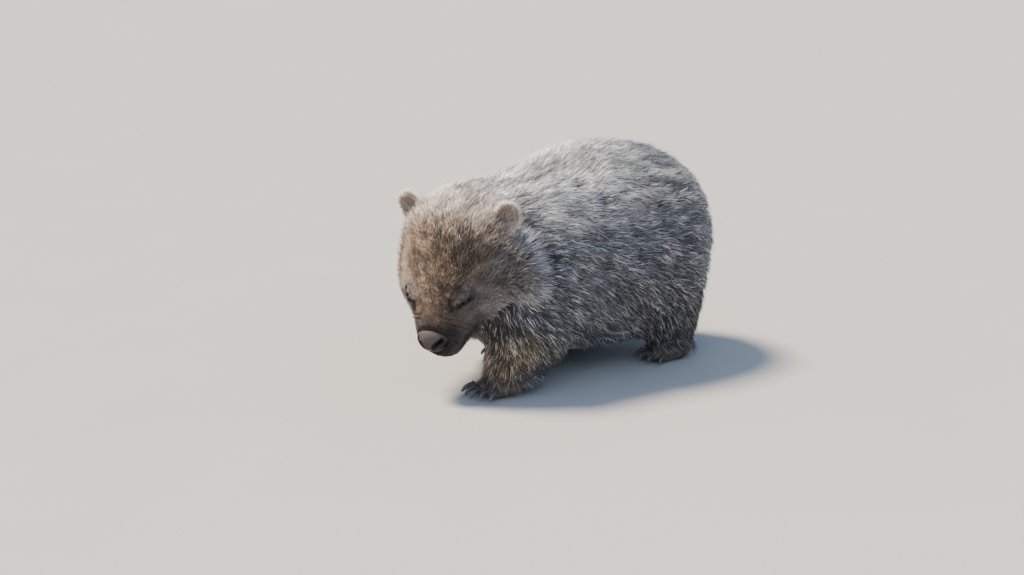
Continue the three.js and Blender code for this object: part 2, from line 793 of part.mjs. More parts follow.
const margin = LEG_STEP * 2.2;
const bodyLow = new THREE.Vector3(-190, -250, -40);
const bodyHigh = new THREE.Vector3(190, 400, 420);
const bodySurface = surfaceOf(body, bodyLow, bodyHigh, TRUNK_STEP);
let torso = solidOf(bodySurface).intersect(neckCut.behind).intersect(wristCut.ahead).subtract(headClearance);
const neckSurface = surfaceOf(melt(50, trunk, headAndNeck), at(-170, 320, 90), at(190, 0, 400), NECK_STEP);
let neckSolid = solidOf(neckSurface)
  .intersect(neckCut.ahead)
  .intersect(headCut.behind);
const bodyClearance = solidOf(grown(bodySurface, LOCK_CLEARANCE));
const legSurfaces = [];
for (const [name, { side, stand, wedge, field, paw: pawShape, claw: clawLength }] of Object.entries(limbs)) {
  const [from, to] = wedge;
  const [limbName, sideName] = name.split('_');
  const low = at(side > 0 ? -20 : -190, to + margin, -margin);
  const high = at(side > 0 ? 190 : 20, from - margin, 230 + margin);
  const kept = legWedge(side, from, to, -GAP / 2).intersect(wristCut.ahead);
  const legSurface = surfaceOf(body, low, high, LEG_STEP);
  legSurfaces.push(solidOf(grown(legSurface, LOCK_CLEARANCE)).intersect(legWedge(side, from, to, 0)));
  const fringe = limbName === 'fore' ? elbowLocks(side, from) : thighLocks(side, from);
  const legSolid = solidOf(legSurface).intersect(kept);
  const fringeSolid = wasm.Manifold.union(fringe).subtract(
    bodyClearance.subtract(legWedge(side, from, to, GAP / 2)),
  );
  torso = torso.subtract(legWedge(side, from, to, GAP / 2));
  neckSolid = neckSolid.subtract(legWedge(side, from, to, GAP / 2));
  const pawMiddle = at(stand.left, stand.ahead - 10, 22.5);
  const pawSurface = surfaceAround(field, pawMiddle, new THREE.Vector3(50, 90, 37.5), PAW_STEP);
  const pawSolid = solidOf(pawSurface).intersect(wristCut.behind).intersect(aboveFloor);
  addPart(`${limbName}_paw_${sideName}`, pawSolid, 'foot');
  const pawClearance = solidOf(grown(pawSurface, GAP));
  const pawSpace = solidOf(grown(pawSurface, LOCK_CLEARANCE)).intersect(wristCut.behind);
  addPart(
    `${limbName}_leg_${sideName}`,
    legSolid.add(fringeSolid.subtract(pawSpace)).subtract(headClearance),
    'coat',
  );
  pawShape.digits.forEach((digit, index) => {
    const clawSolid = claw(digit, clawLength).subtract(pawClearance);
    addPart(`${limbName}_claw_${sideName}_${index + 1}`, clawSolid, 'claw');
  });
}

// The fringe behind each elbow, which hangs down and back.
function elbowLocks(side, from) {
  return [0, 1, 2, 3].map((index) => {
    const heart = at(side * 84, from + 82, 66 + (index % 2) * 12);
    const root = onSurface(body, heart, at(side * (0.8 - index * 0.4), -1, 0.1));
    return lock(body, root, at(side * 0.1, -0.4, -1), ELBOW_LOCK, 3);
  });
}

// The longer coat down the back of each thigh.
function thighLocks(side, from) {
  return [0, 1, 2, 3].map((index) => {
    const heart = at(side * 84, from + 190, 66 + index * 22);
    const root = onSurface(body, heart, at(side * (0.1 + 0.15 * index), -1, -0.1));
    return lock(body, root, at(side * 0.05, -0.35, -1), THIGH_LOCK, 3);
  });
}

// The fringe along the lower edge of each flank, between the legs.
function bellyLocks() {
  const locks = [];
  for (const side of [-1, 1]) {
    for (let index = 0; index < 7; index += 1) {
      const toward = at(side * chance(0.7, 0.95), 0, -1);
      const root = onSurface(trunk, at(side * 40, 30 - index * 27 + (side < 0 ? -24 : 0), 130), toward);
      locks.push(lock(trunk, root, at(side * 0.2, -0.75, -0.7), BELLY_LOCK, 2, true));
    }
  }
  return locks;
}

const headSolid = solidOf(headSurface).intersect(headCut.ahead);
const neckClearance = solidOf(grown(neckSurface, LOCK_CLEARANCE)).intersect(headCut.behind);
let ruff = wasm.Manifold.union(ruffLocks()).intersect(snoutCut.behind);
ruff = ruff.subtract(bodyClearance.subtract(headSolid)).subtract(neckClearance);
for (const legSurface of legSurfaces) ruff = ruff.subtract(legSurface.subtract(headSolid));
addPart('head', head.add(ruff), 'face');
let belly = wasm.Manifold.union(bellyLocks());
for (const { side, wedge } of Object.values(limbs)) {
  belly = belly.subtract(legWedge(side, ...wedge, LOCK_CLEARANCE));
}
addPart('torso', torso.add(belly), 'coat');
addPart('neck', neckSolid, 'coat');

// The stub of the tail.
const tailRoot = onSurface(body, at(0, -RUMP_BACK + 100, 205), at(0, -1, -0.05));
const tailField = limb(tailRoot.clone().add(at(0, 14, 2)), tailRoot.clone().add(at(0, -9, -16)), 15, 9);
const tail = solidAround(tailField, tailRoot, new THREE.Vector3(45, 45, 45), TAIL_STEP);
addPart('tail', tail.subtract(solidOf(grown(bodySurface, GAP))), 'coat');

// The finished animal, set with the origin on the floor under its middle.
const wombat = new THREE.Group();
for (const { name, geometry, material } of parts) {
  const finish = new THREE.MeshStandardMaterial({ color: COLOURS[material], roughness: ROUGHNESS[material] });
  const mesh = new THREE.Mesh(geometry, finish);
  mesh.name = name;
  wombat.add(mesh);
}
const middle = new THREE.Box3().setFromObject(wombat, true).getCenter(new THREE.Vector3());
wombat.position.set(-middle.x, -middle.y, 0);

export default wombat;
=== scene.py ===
"""A common wombat as a museum model: skin, coat, nose, lids, eyes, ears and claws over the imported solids.

Every length in this file is in metres unless its name ends in _mm. The animal's own measures are
given as in the solids: how far to its left, how far ahead and how high, and on the head how far to
the left, how far down the face towards the nose and how far out of the forehead.
"""

import logging
import math
from dataclasses import dataclass, field
from enum import Enum

import bmesh
import bpy
import numpy as np
from mathutils import Matrix, Vector
from mathutils.bvhtree import BVHTree
from mathutils.kdtree import KDTree


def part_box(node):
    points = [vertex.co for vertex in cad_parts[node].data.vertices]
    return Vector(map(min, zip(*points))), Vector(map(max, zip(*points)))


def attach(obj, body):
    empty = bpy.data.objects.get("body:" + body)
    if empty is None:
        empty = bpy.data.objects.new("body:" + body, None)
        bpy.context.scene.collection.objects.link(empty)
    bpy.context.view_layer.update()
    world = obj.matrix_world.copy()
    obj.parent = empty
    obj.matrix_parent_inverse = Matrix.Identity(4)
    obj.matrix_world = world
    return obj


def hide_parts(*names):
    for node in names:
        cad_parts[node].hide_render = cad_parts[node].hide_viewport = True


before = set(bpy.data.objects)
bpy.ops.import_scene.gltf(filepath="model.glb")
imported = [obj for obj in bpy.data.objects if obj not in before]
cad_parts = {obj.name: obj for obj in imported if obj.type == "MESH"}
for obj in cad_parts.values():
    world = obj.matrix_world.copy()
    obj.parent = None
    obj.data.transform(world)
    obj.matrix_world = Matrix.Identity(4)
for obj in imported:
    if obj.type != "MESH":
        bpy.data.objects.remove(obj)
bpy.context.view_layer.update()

log = logging.getLogger("wombat")
MM = 0.001
SEED = 41
IMAGE_WIDTH = 1024
IMAGE_HEIGHT = 575

LIMBS = ("fore_leg_left", "fore_leg_right", "hind_leg_left", "hind_leg_right")
PAWS = ("fore_paw_left", "fore_paw_right", "hind_paw_left", "hind_paw_right")
FLESH = ("torso", "neck", "head", "snout", "tail", *LIMBS, *PAWS)

# Where the crown and the middle between the eyes are in the solids, and how the head is turned.
CROWN_MM = (17.0, -189.0, 303.0)
EYES_ON_HEAD_MM = (0.0, -143.5, -18.0)
NOSE_MIDDLE_MM = np.array([0.0, 206.0, -30.0])
NOSE_RADII_MM = np.array([29.0, 24.5, 23.5])
HEAD_YAW = math.radians(22.0)
HEAD_PITCH = math.radians(66.0)


def linear(hex_colour: str) -> tuple[float, float, float, float]:
    """Turns an sRGB hex colour into linear RGBA.

    Args:
        hex_colour: a hash sign and six digits.

    Returns:
        Red, green, blue and an alpha of one.
    """
    parts = [int(hex_colour[i : i + 2], 16) / 255 for i in (1, 3, 5)]
    rgb = [c / 12.92 if c <= 0.04045 else ((c + 0.055) / 1.055) ** 2.4 for c in parts]
    return (*rgb, 1.0)


def rgb(hex_colour: str) -> np.ndarray:
    """The same as an array of three."""
    return np.array(linear(hex_colour)[:3])


def smooth(value: np.ndarray, low: float, high: float) -> np.ndarray:
    """A soft step from 0 at low to 1 at high."""
    part = np.clip((value - low) / (high - low), 0.0, 1.0)
    return part * part * (3.0 - 2.0 * part)


def unit(vectors: np.ndarray) -> np.ndarray:
    """Each row scaled to length one."""
    return vectors / np.maximum(np.linalg.norm(vectors, axis=-1, keepdims=True), 1e-9)


def mix(low: np.ndarray, high: np.ndarray, part: np.ndarray) -> np.ndarray:
    """Blends two colours or vectors row by row, where either may be one for all rows."""
    return low + (high - low) * part[:, None]


def paint(colour: np.ndarray, layers: tuple[tuple[str, np.ndarray], ...]) -> np.ndarray:
    """Lays colours over one another.

    Args:
        colour: the rows of colours that lie under all.
        layers: a hex colour and its share at each row, for each layer from below.

    Returns:
        The rows of colours.
    """
    for tint, share in layers:
        colour = mix(colour, rgb(tint), share)
    return colour


def value_noise(points: np.ndarray, size: float, seed: int) -> np.ndarray:
    """Smooth noise from 0 to 1 at points.

    Args:
        points: rows of x, y, z.
        size: the width of one cell of the noise.
        seed: picks the pattern.

    Returns:
        One value for each row.
    """
    scaled = points / size
    cell = np.floor(scaled).astype(np.int64)
    part = scaled - cell
    part = part * part * (3.0 - 2.0 * part)
    total = np.zeros(len(points))
    for corner in range(8):
        step = np.array([corner & 1, (corner >> 1) & 1, (corner >> 2) & 1])
        at = cell + step
        code = at[:, 0] * 374761393 + at[:, 1] * 668265263 + at[:, 2] * 2147483647 + seed * 1274126177
        code = (code ^ (code >> 13)) * 1103515245
        code = (code ^ (code >> 16)) & 0xFFFF
        weight = np.prod(np.where(step == 1, part, 1.0 - part), axis=1)
        total += weight * code / 65535.0
    return total


def add_node(tree: bpy.types.NodeTree, kind: str, settings: dict | None = None, **inputs) -> bpy.types.Node:
    """Adds a node, sets its properties and sets or links its inputs.

    Args:
        tree: the material's node tree.
        kind: the node's type name.
        settings: properties of the node itself.
        inputs: a value or an output socket for each input, by name or by _ and its number.

    Returns:
        The new node.
    """
    node = tree.nodes.new(kind)
    for name, value in (settings or {}).items():
        setattr(node, name, value)
    set_inputs(node, **inputs)
    return node


def set_inputs(node: bpy.types.Node, **inputs) -> None:
    """Sets or links a node's inputs.

    Args:
        node: the node.
        inputs: a value or an output socket for each input, by name or by _ and its number.
    """
    for name, value in inputs.items():
        socket = node.inputs[int(name[1:])] if name[0] == "_" else node.inputs[name.replace("_", " ")]
        if isinstance(value, bpy.types.NodeSocket):
            node.id_data.links.new(value, socket)
        else:
            socket.default_value = value


def new_material(name: str) -> tuple[bpy.types.Material, bpy.types.NodeTree, bpy.types.Node]:
    """Makes a material.

    Args:
        name: the finish it is named for.

    Returns:
        The material, its node tree and its surface shader.
    """
    material = bpy.data.materials.new(name)
    material.use_nodes = True
    return material, material.node_tree, material.node_tree.nodes["Principled BSDF"]


def new_object(name: str, data: bpy.types.ID) -> bpy.types.Object:
    """Puts a mesh, a light or a camera into the scene.

    Args:
        name: the object's name.
        data: what it shows.

    Returns:
        The new object, at the origin.
    """
    piece = bpy.data.objects.new(name, data)
    bpy.context.scene.collection.objects.link(piece)
    return piece


def deselect_all() -> None:
    """Leaves object mode with nothing selected."""
    if bpy.context.object and bpy.context.object.mode != "OBJECT":
        bpy.ops.object.mode_set(mode="OBJECT")
    bpy.ops.object.select_all(action="DESELECT")


def make_active(piece: bpy.types.Object) -> None:
    """Selects one object alone.

    Args:
        piece: the object.
    """
    deselect_all()
    piece.select_set(True)
    bpy.context.view_layer.objects.active = piece


def apply_modifier(piece: bpy.types.Object, kind: str, **settings) -> None:
    """Adds a modifier, sets it and applies it.

    Args:
        piece: the object.
        kind: the modifier's type name.
        settings: properties of the modifier.
    """
    make_active(piece)
    modifier = piece.modifiers.new(kind.title(), kind)
    for name, value in settings.items():
        setattr(modifier, name, value)
    bpy.ops.object.modifier_apply(modifier=modifier.name)


def points_of(mesh: bpy.types.Mesh) -> np.ndarray:
    """The mesh's vertices as rows.

    Args:
        mesh: the mesh.

    Returns:
        One row of x, y and z for each.
    """
    flat = np.empty(len(mesh.vertices) * 3)
    mesh.vertices.foreach_get("co", flat)
    return flat.reshape(-1, 3)


def normals_of(mesh: bpy.types.Mesh) -> np.ndarray:
    """The mesh's vertex normals as rows.

    Args:
        mesh: the mesh.

    Returns:
        One row of length one for each.
    """
    flat = np.empty(len(mesh.vertices) * 3)
    mesh.vertex_normals.foreach_get("vector", flat)
    return flat.reshape(-1, 3)


def move_points(mesh: bpy.types.Mesh, points: np.ndarray) -> None:
    """Writes rows back as the mesh's vertices."""
    mesh.vertices.foreach_set("co", points.ravel())
    mesh.update()


def copy_of_node(name: str, piece_name: str) -> bpy.types.Object:
    """A merged copy of a node of the solids, as a new object.

    Args:
        name: the node.
        piece_name: the name of the copy.

    Returns:
        The new object.
    """
    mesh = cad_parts[name].data.copy()
    mesh.name = piece_name
    mesh.materials.clear()
    bm = bmesh.new()
    bm.from_mesh(mesh)
    bmesh.ops.remove_doubles(bm, verts=bm.verts, dist=0.02 * MM)
    bm.to_mesh(mesh)
    bm.free()
    return new_object(piece_name, mesh)


def finish_piece(piece: bpy.types.Object, material: bpy.types.Material, slot: str, *nodes: str) -> None:
    """Gives a piece its material, rides it on the body and lets it stand for nodes.

    Args:
        piece: the object.
        material: its material.
        slot: not used.
        nodes: the nodes that it stands for, if any.
    """
    piece.data.materials.clear()
    piece.data.materials.append(material)
    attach(piece, "root")
    if nodes:
        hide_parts(*nodes)
    log.info("%s: %d vertices, %d faces", piece.name, len(piece.data.vertices), len(piece.data.polygons))


@dataclass(frozen=True)
class Landmarks:
    """Turns places in the frame into the animal's own measures, in millimetres."""

    shift: np.ndarray
    crown: np.ndarray
    turn: np.ndarray

    @classmethod
    def from_frame(cls) -> "Landmarks":
        """Finds the animal's own frame from the two eyes, whose places are exact.

        Returns:
            The landmarks.
        """
        turn = Matrix.Rotation(HEAD_YAW, 3, "Z") @ Matrix.Rotation(HEAD_PITCH, 3, "X")
        corners = [corner for name in ("eye_left", "eye_right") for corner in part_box(name)]
        middle = sum(corners, Vector()) / 4
        crown = middle - turn @ Vector(EYES_ON_HEAD_MM) * MM
        shift = crown - Vector(CROWN_MM) * MM
        return cls(np.array(shift), np.array(crown), np.array(turn))

    def on_body(self, points: np.ndarray) -> np.ndarray:
        """Rows of left, ahead and up, in millimetres."""
        return (points - self.shift) / MM * (1.0, -1.0, 1.0)

    def on_head(self, points: np.ndarray) -> np.ndarray:
        """Rows of left, towards the nose and out of the forehead, in millimetres."""
        return (points - self.crown) @ self.turn / MM * (1.0, -1.0, 1.0)

    def head_way(self, ways: np.ndarray) -> np.ndarray:
        """Directions given on the head, as directions in the frame."""
        return (ways * (1.0, -1.0, 1.0)) @ self.turn.T

    def head_place(self, left: float, noseward: float, out: float) -> np.ndarray:
        """A place on the head, given in millimetres, in the frame."""
        return self.crown + self.turn @ np.array([left, -noseward, out]) * MM

    def body_place(self, left: float, ahead: float, up: float) -> np.ndarray:
        """A place by the body's measures, given in millimetres, in the frame."""
        return self.shift + np.array([left, -ahead, up]) * MM


class Region(Enum):
    """The parts that the coat is made in, each a piece of its own."""

    FOREHEAD_LEFT = "coat_forehead_left"
    FOREHEAD_RIGHT = "coat_forehead_right"
    MUZZLE = "coat_muzzle"
    CROWN = "coat_crown"
    CHEEK_LEFT = "coat_cheek_left"
    CHEEK_RIGHT = "coat_cheek_right"
    NECK = "coat_neck"
    SHOULDER_LEFT = "coat_shoulder_left"
    SHOULDER_RIGHT = "coat_shoulder_right"
    BACK = "coat_back"
    FLANK_LEFT = "coat_flank_left"
    FLANK_RIGHT = "coat_flank_right"
    RUMP_LEFT = "coat_rump_left"
    RUMP_RIGHT = "coat_rump_right"
    BELLY = "coat_belly"
    FORE_LEG_LEFT = "coat_fore_leg_left"
    FORE_LEG_RIGHT = "coat_fore_leg_right"
    HIND_LEG_LEFT = "coat_hind_leg_left"
    HIND_LEG_RIGHT = "coat_hind_leg_right"
    FEET = "coat_feet"


SHORT_HAIRED = (Region.FOREHEAD_LEFT, Region.FOREHEAD_RIGHT, Region.MUZZLE, Region.FEET)
FACE_SLOTS = (Region.FOREHEAD_LEFT, Region.FOREHEAD_RIGHT, Region.MUZZLE, Region.CROWN, Region.CHEEK_LEFT,
              Region.CHEEK_RIGHT)


@dataclass
class Shape:
    """Places on the skin with all that the coat needs to know about each.

    Head, leg and paw say how much a place belongs to each of these, and edge fades from the head
    into the body over a wider band than head does.
    """

    points: np.ndarray
    normals: np.ndarray
    head: np.ndarray
    edge: np.ndarray
    leg: np.ndarray
    paw: np.ndarray
    marks: Landmarks
    body_mm: np.ndarray = field(init=False)
    head_mm: np.ndarray = field(init=False)
    head_normals: np.ndarray = field(init=False)

    def __post_init__(self) -> None:
        """Works out the animal's own measures of each place."""
        self.body_mm = self.marks.on_body(self.points)
        self.head_mm = self.marks.on_head(self.points)
        self.head_normals = self.normals @ self.marks.turn

    @classmethod
    def all_head(cls, points: np.ndarray, normals: np.ndarray, marks: Landmarks) -> "Shape":
        """Places that belong to the head alone, as on an ear or a lid.

        Args:
            points: the places.
            normals: the ways that the surface faces there.
            marks: the animal's own measures.

        Returns:
            The places with their masks.
        """
        ones, zeros = np.ones(len(points)), np.zeros(len(points))
        return cls(points, normals, ones, ones, zeros, zeros, marks)

    def only(self, chosen: np.ndarray) -> "Shape":
        """The places that are chosen."""
        rows = (self.points, self.normals, self.head, self.edge, self.leg, self.paw)
        return Shape(*(row[chosen] for row in rows), self.marks)

    def muzzle(self) -> np.ndarray:
        """How much each place belongs to the muzzle."""
        return self.head * smooth(self.head_mm[:, 1], 140.0, 190.0)

    def cheek(self) -> np.ndarray:
        """How much each place belongs to the side of the head.

        Returns:
            A share from 0 to 1 for each place.
        """
        turned = smooth(np.abs(self.head_normals[:, 0]) - 0.5 * self.head_normals[:, 2], 0.1, 0.8)
        across, _, out = self.head_mm.T
        return self.head * np.maximum(turned, smooth(np.abs(across), 38.0, 62.0) * smooth(-out, 20.0, 55.0))

    def ruff(self) -> np.ndarray:
        """How much each place belongs to the ruff, where the cheek stands clear of the neck."""
        return smooth(self.head, 0.4, 0.6) * (1.0 - smooth(self.edge, 0.84, 0.97)) * self.low()

    def behind_ruff(self) -> np.ndarray:
        """How much each place lies in the shade behind the ruff."""
        return (1.0 - smooth(self.head, 0.3, 0.6)) * smooth(self.edge, 0.25, 0.55) * self.low()

    def low(self) -> np.ndarray:
        """One where the head is well behind the plane of the forehead, and nothing on the crown."""
        return smooth(-self.head_mm[:, 2], 22.0, 60.0)

    def eye_distance(self) -> np.ndarray:
        """Millimetres to the middle of the nearer eye."""
        middles = [np.array(sum(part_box(name), Vector()) / 2) for name in ("eye_left", "eye_right")]
        return np.min([np.linalg.norm(self.points - middle, axis=1) for middle in middles], axis=0) / MM

    def nose_distance(self) -> np.ndarray:
        """One on the surface of the bare nose, more outside it."""
        return np.linalg.norm((self.head_mm - NOSE_MIDDLE_MM) / NOSE_RADII_MM, axis=1)


@dataclass(frozen=True)
class CoatLie:
    """How long, deep, wide and dense the hair is and which way it lies, from place to place."""

    body_depth_mm: float = 15.0
    cheek_depth_mm: float = 13.0
    crown_depth_mm: float = 12.0
    forehead_depth_mm: float = 6.0
    muzzle_depth_mm: float = 1.8
    leg_depth_mm: float = 8.0
    paw_depth_mm: float = 1.6
    rump_ahead_mm: float = -200.0
    shoulder_ahead_mm: float = 0.0
    neck_ahead_mm: float = 105.0
    neck_up_mm: float = 150.0
    back_up_mm: float = 200.0
    back_half_mm: float = 62.0
    belly_up_mm: float = 130.0
    feet_up_mm: float = 30.0
    forehead_from_mm: float = 58.0
    muzzle_from_mm: float = 150.0

    def depth(self, shape: Shape) -> np.ndarray:
        """How far the tips stand off the skin, in metres.

        Args:
            shape: the places.

        Returns:
            The distance for each place.
        """
        down_face = shape.head_mm[:, 1]
        middle = 1.0 - smooth(np.abs(shape.head_mm[:, 0]), 25.0, 55.0)
        brow = smooth(down_face, 30.0, 100.0) * middle
        face = self.crown_depth_mm + (self.forehead_depth_mm - self.crown_depth_mm) * brow
        face = face + (self.cheek_depth_mm - face) * shape.cheek()
        muzzle = smooth(down_face + 0.45 * shape.head_mm[:, 2], 95.0, 165.0)
        face = face + (self.muzzle_depth_mm - face) * muzzle
        face = np.minimum(face, 1.2 + np.maximum(shape.eye_distance() - 12.0, 0.0) * 0.2)
        depth = self.body_depth_mm + (face - self.body_depth_mm) * shape.head
        leg = shape.leg * smooth(-shape.body_mm[:, 2], -120.0, -50.0)
        depth = depth + (self.leg_depth_mm - depth) * leg
        low = smooth(-shape.body_mm[:, 2], -34.0, -16.0) * np.maximum(shape.paw, shape.leg)
        return (depth + (self.paw_depth_mm - depth) * low) * MM

    def height(self, shape: Shape) -> np.ndarray:
        """How far a common tip stands off the skin, in metres: more at the ruff, less behind it."""
        fluffy = 0.25 * shape.head * (1.0 - shape.muzzle())
        return self.depth(shape) * (1.0 + fluffy + 0.2 * shape.ruff() - 0.5 * shape.behind_ruff())

    def way(self, shape: Shape) -> np.ndarray:
        """The direction that the hair lies in, before it is laid on the skin.

        Args:
            shape: the places.

        Returns:
            One row of length one for each place, in the frame.
        """
        left, ahead, up = shape.body_mm.T
        side = np.sign(left)
        flank = smooth(np.abs(shape.normals[:, 0]), 0.25, 0.8)
        down = flank * (0.22 + 0.75 * smooth(-up, -230.0, -90.0))
        down += 1.3 * smooth(shape.normals[:, 1], 0.45, 0.95)
        front = smooth(ahead, 90.0, 160.0) * smooth(-shape.normals[:, 1], 0.1, 0.7)
        way = np.stack([side * 0.16, 1.0 - 0.75 * front, -down - 0.9 * front], axis=1)
        way = mix(way, np.array([0.0, 0.42, -1.0]), shape.leg * smooth(-up, -150.0, -70.0))
        way = mix(way, np.array([0.0, -1.0, -0.5]), shape.paw * smooth(-up, -26.0, -14.0))
        return unit(mix(way, self.head_way(shape), smooth(shape.head, 0.35, 0.65)))

    def head_way(self, shape: Shape) -> np.ndarray:
        """On the head it sweeps up the forehead, and back over the cheeks into the ruff.

        Args:
            shape: the places.

        Returns:
            One row of length one for each place, in the frame.
        """
        across, _, out = shape.head_mm.T
        spread = np.clip(across / 60.0, -1.0, 1.0)
        forehead = np.stack([spread * 0.6, np.full_like(across, -1.0), np.zeros_like(across)], axis=1)
        upward = -0.85 + 1.25 * smooth(-out, 15.0, 105.0)
        cheek = np.stack([np.sign(across) * 0.3, upward, np.full_like(across, -0.85)], axis=1)
        return shape.marks.head_way(unit(mix(forehead, cheek, np.maximum(shape.cheek(), shape.ruff()))))

    def length(self, shape: Shape) -> np.ndarray:
        """How long the hair is, in metres.

        Args:
            shape: the places.

        Returns:
            The length for each place.
        """
        depth = self.depth(shape)
        body = depth * 1.9 + 4.5 * MM
        face = depth * 1.5 + 2.8 * MM + 16.0 * MM * shape.ruff()
        return body + (face - body) * shape.head

    def width(self, shape: Shape) -> np.ndarray:
        """How wide a tuft is at its widest, in metres."""
        return 0.31 * MM * np.sqrt(self.length(shape) / MM)

    def density(self, shape: Shape) -> np.ndarray:
        """How dense the tufts are: none under the feet, on the nose or on the lids.

        Args:
            shape: the places.

        Returns:
            A number for each place, which is 1 on the body.
        """
        sole = smooth(shape.points[:, 2], 1.0 * MM, 5.0 * MM)
        bare = smooth(shape.nose_distance(), 0.92, 1.0)
        eye = smooth(shape.eye_distance(), 12.5, 15.0)
        short = 1.0 - 0.8 * shape.muzzle() - 0.75 * shape.paw * smooth(-shape.body_mm[:, 2], -34.0, -16.0)
        body = 1.0 - shape.head
        under = 1.0 - 0.35 * body * smooth(-shape.normals[:, 2], 0.5, 0.9)
        dense = 1.0 + shape.head * (0.8 + 0.5 * shape.cheek() + 0.6 * shape.ruff()) - 0.25 * shape.leg
        return sole * bare * eye * short * under * dense

    def region(self, shape: Shape) -> np.ndarray:
        """The number of the region of each place, in the order of Region.

        Args:
            shape: the places.

        Returns:
            A whole number for each place.
        """
        left, ahead, up = shape.body_mm.T
        across, down_face, _ = shape.head_mm.T
        order = {region: number for number, region in enumerate(Region)}

        def sided(on_left: np.ndarray, name: str) -> np.ndarray:
            """The number of the left or the right region of a name."""
            return np.where(on_left, order[Region[f"{name}_LEFT"]], order[Region[f"{name}_RIGHT"]])

        on_left = left > 0.0
        number = sided(on_left, "FLANK")
        number = np.where(ahead < self.rump_ahead_mm, sided(on_left, "RUMP"), number)
        number = np.where(ahead > self.shoulder_ahead_mm, sided(on_left, "SHOULDER"), number)
        topmost = (np.abs(left) < self.back_half_mm) & (up > self.back_up_mm)
        number = np.where(topmost, order[Region.BACK], number)
        number = np.where((ahead > self.neck_ahead_mm) & (up > self.neck_up_mm), order[Region.NECK], number)
        beneath = (shape.normals[:, 2] < -0.6) & (up < self.belly_up_mm)
        number = np.where(beneath, order[Region.BELLY], number)
        # The legs of the right side stand closer together, so they part further back.
        fore = ahead > -60.0 + 40.0 * np.sign(left)
        legs = np.where(fore, sided(on_left, "FORE_LEG"), sided(on_left, "HIND_LEG"))
        number = np.where(shape.leg > 0.5, legs, number)
        number = np.where((shape.paw > 0.3) & (up < self.feet_up_mm), order[Region.FEET], number)
        on_head = shape.head > 0.5
        face = np.where(down_face > self.forehead_from_mm, sided(across > 0.0, "FOREHEAD"),
                        order[Region.CROWN])
        number = np.where(on_head, face, number)
        sides = (shape.cheek() > 0.45) | (shape.ruff() > 0.3)
        number = np.where(on_head & sides, sided(across > 0.0, "CHEEK"), number)
        snout = on_head & (down_face > self.muzzle_from_mm) & (shape.ruff() < 0.3)
        return np.where(snout, order[Region.MUZZLE], number)


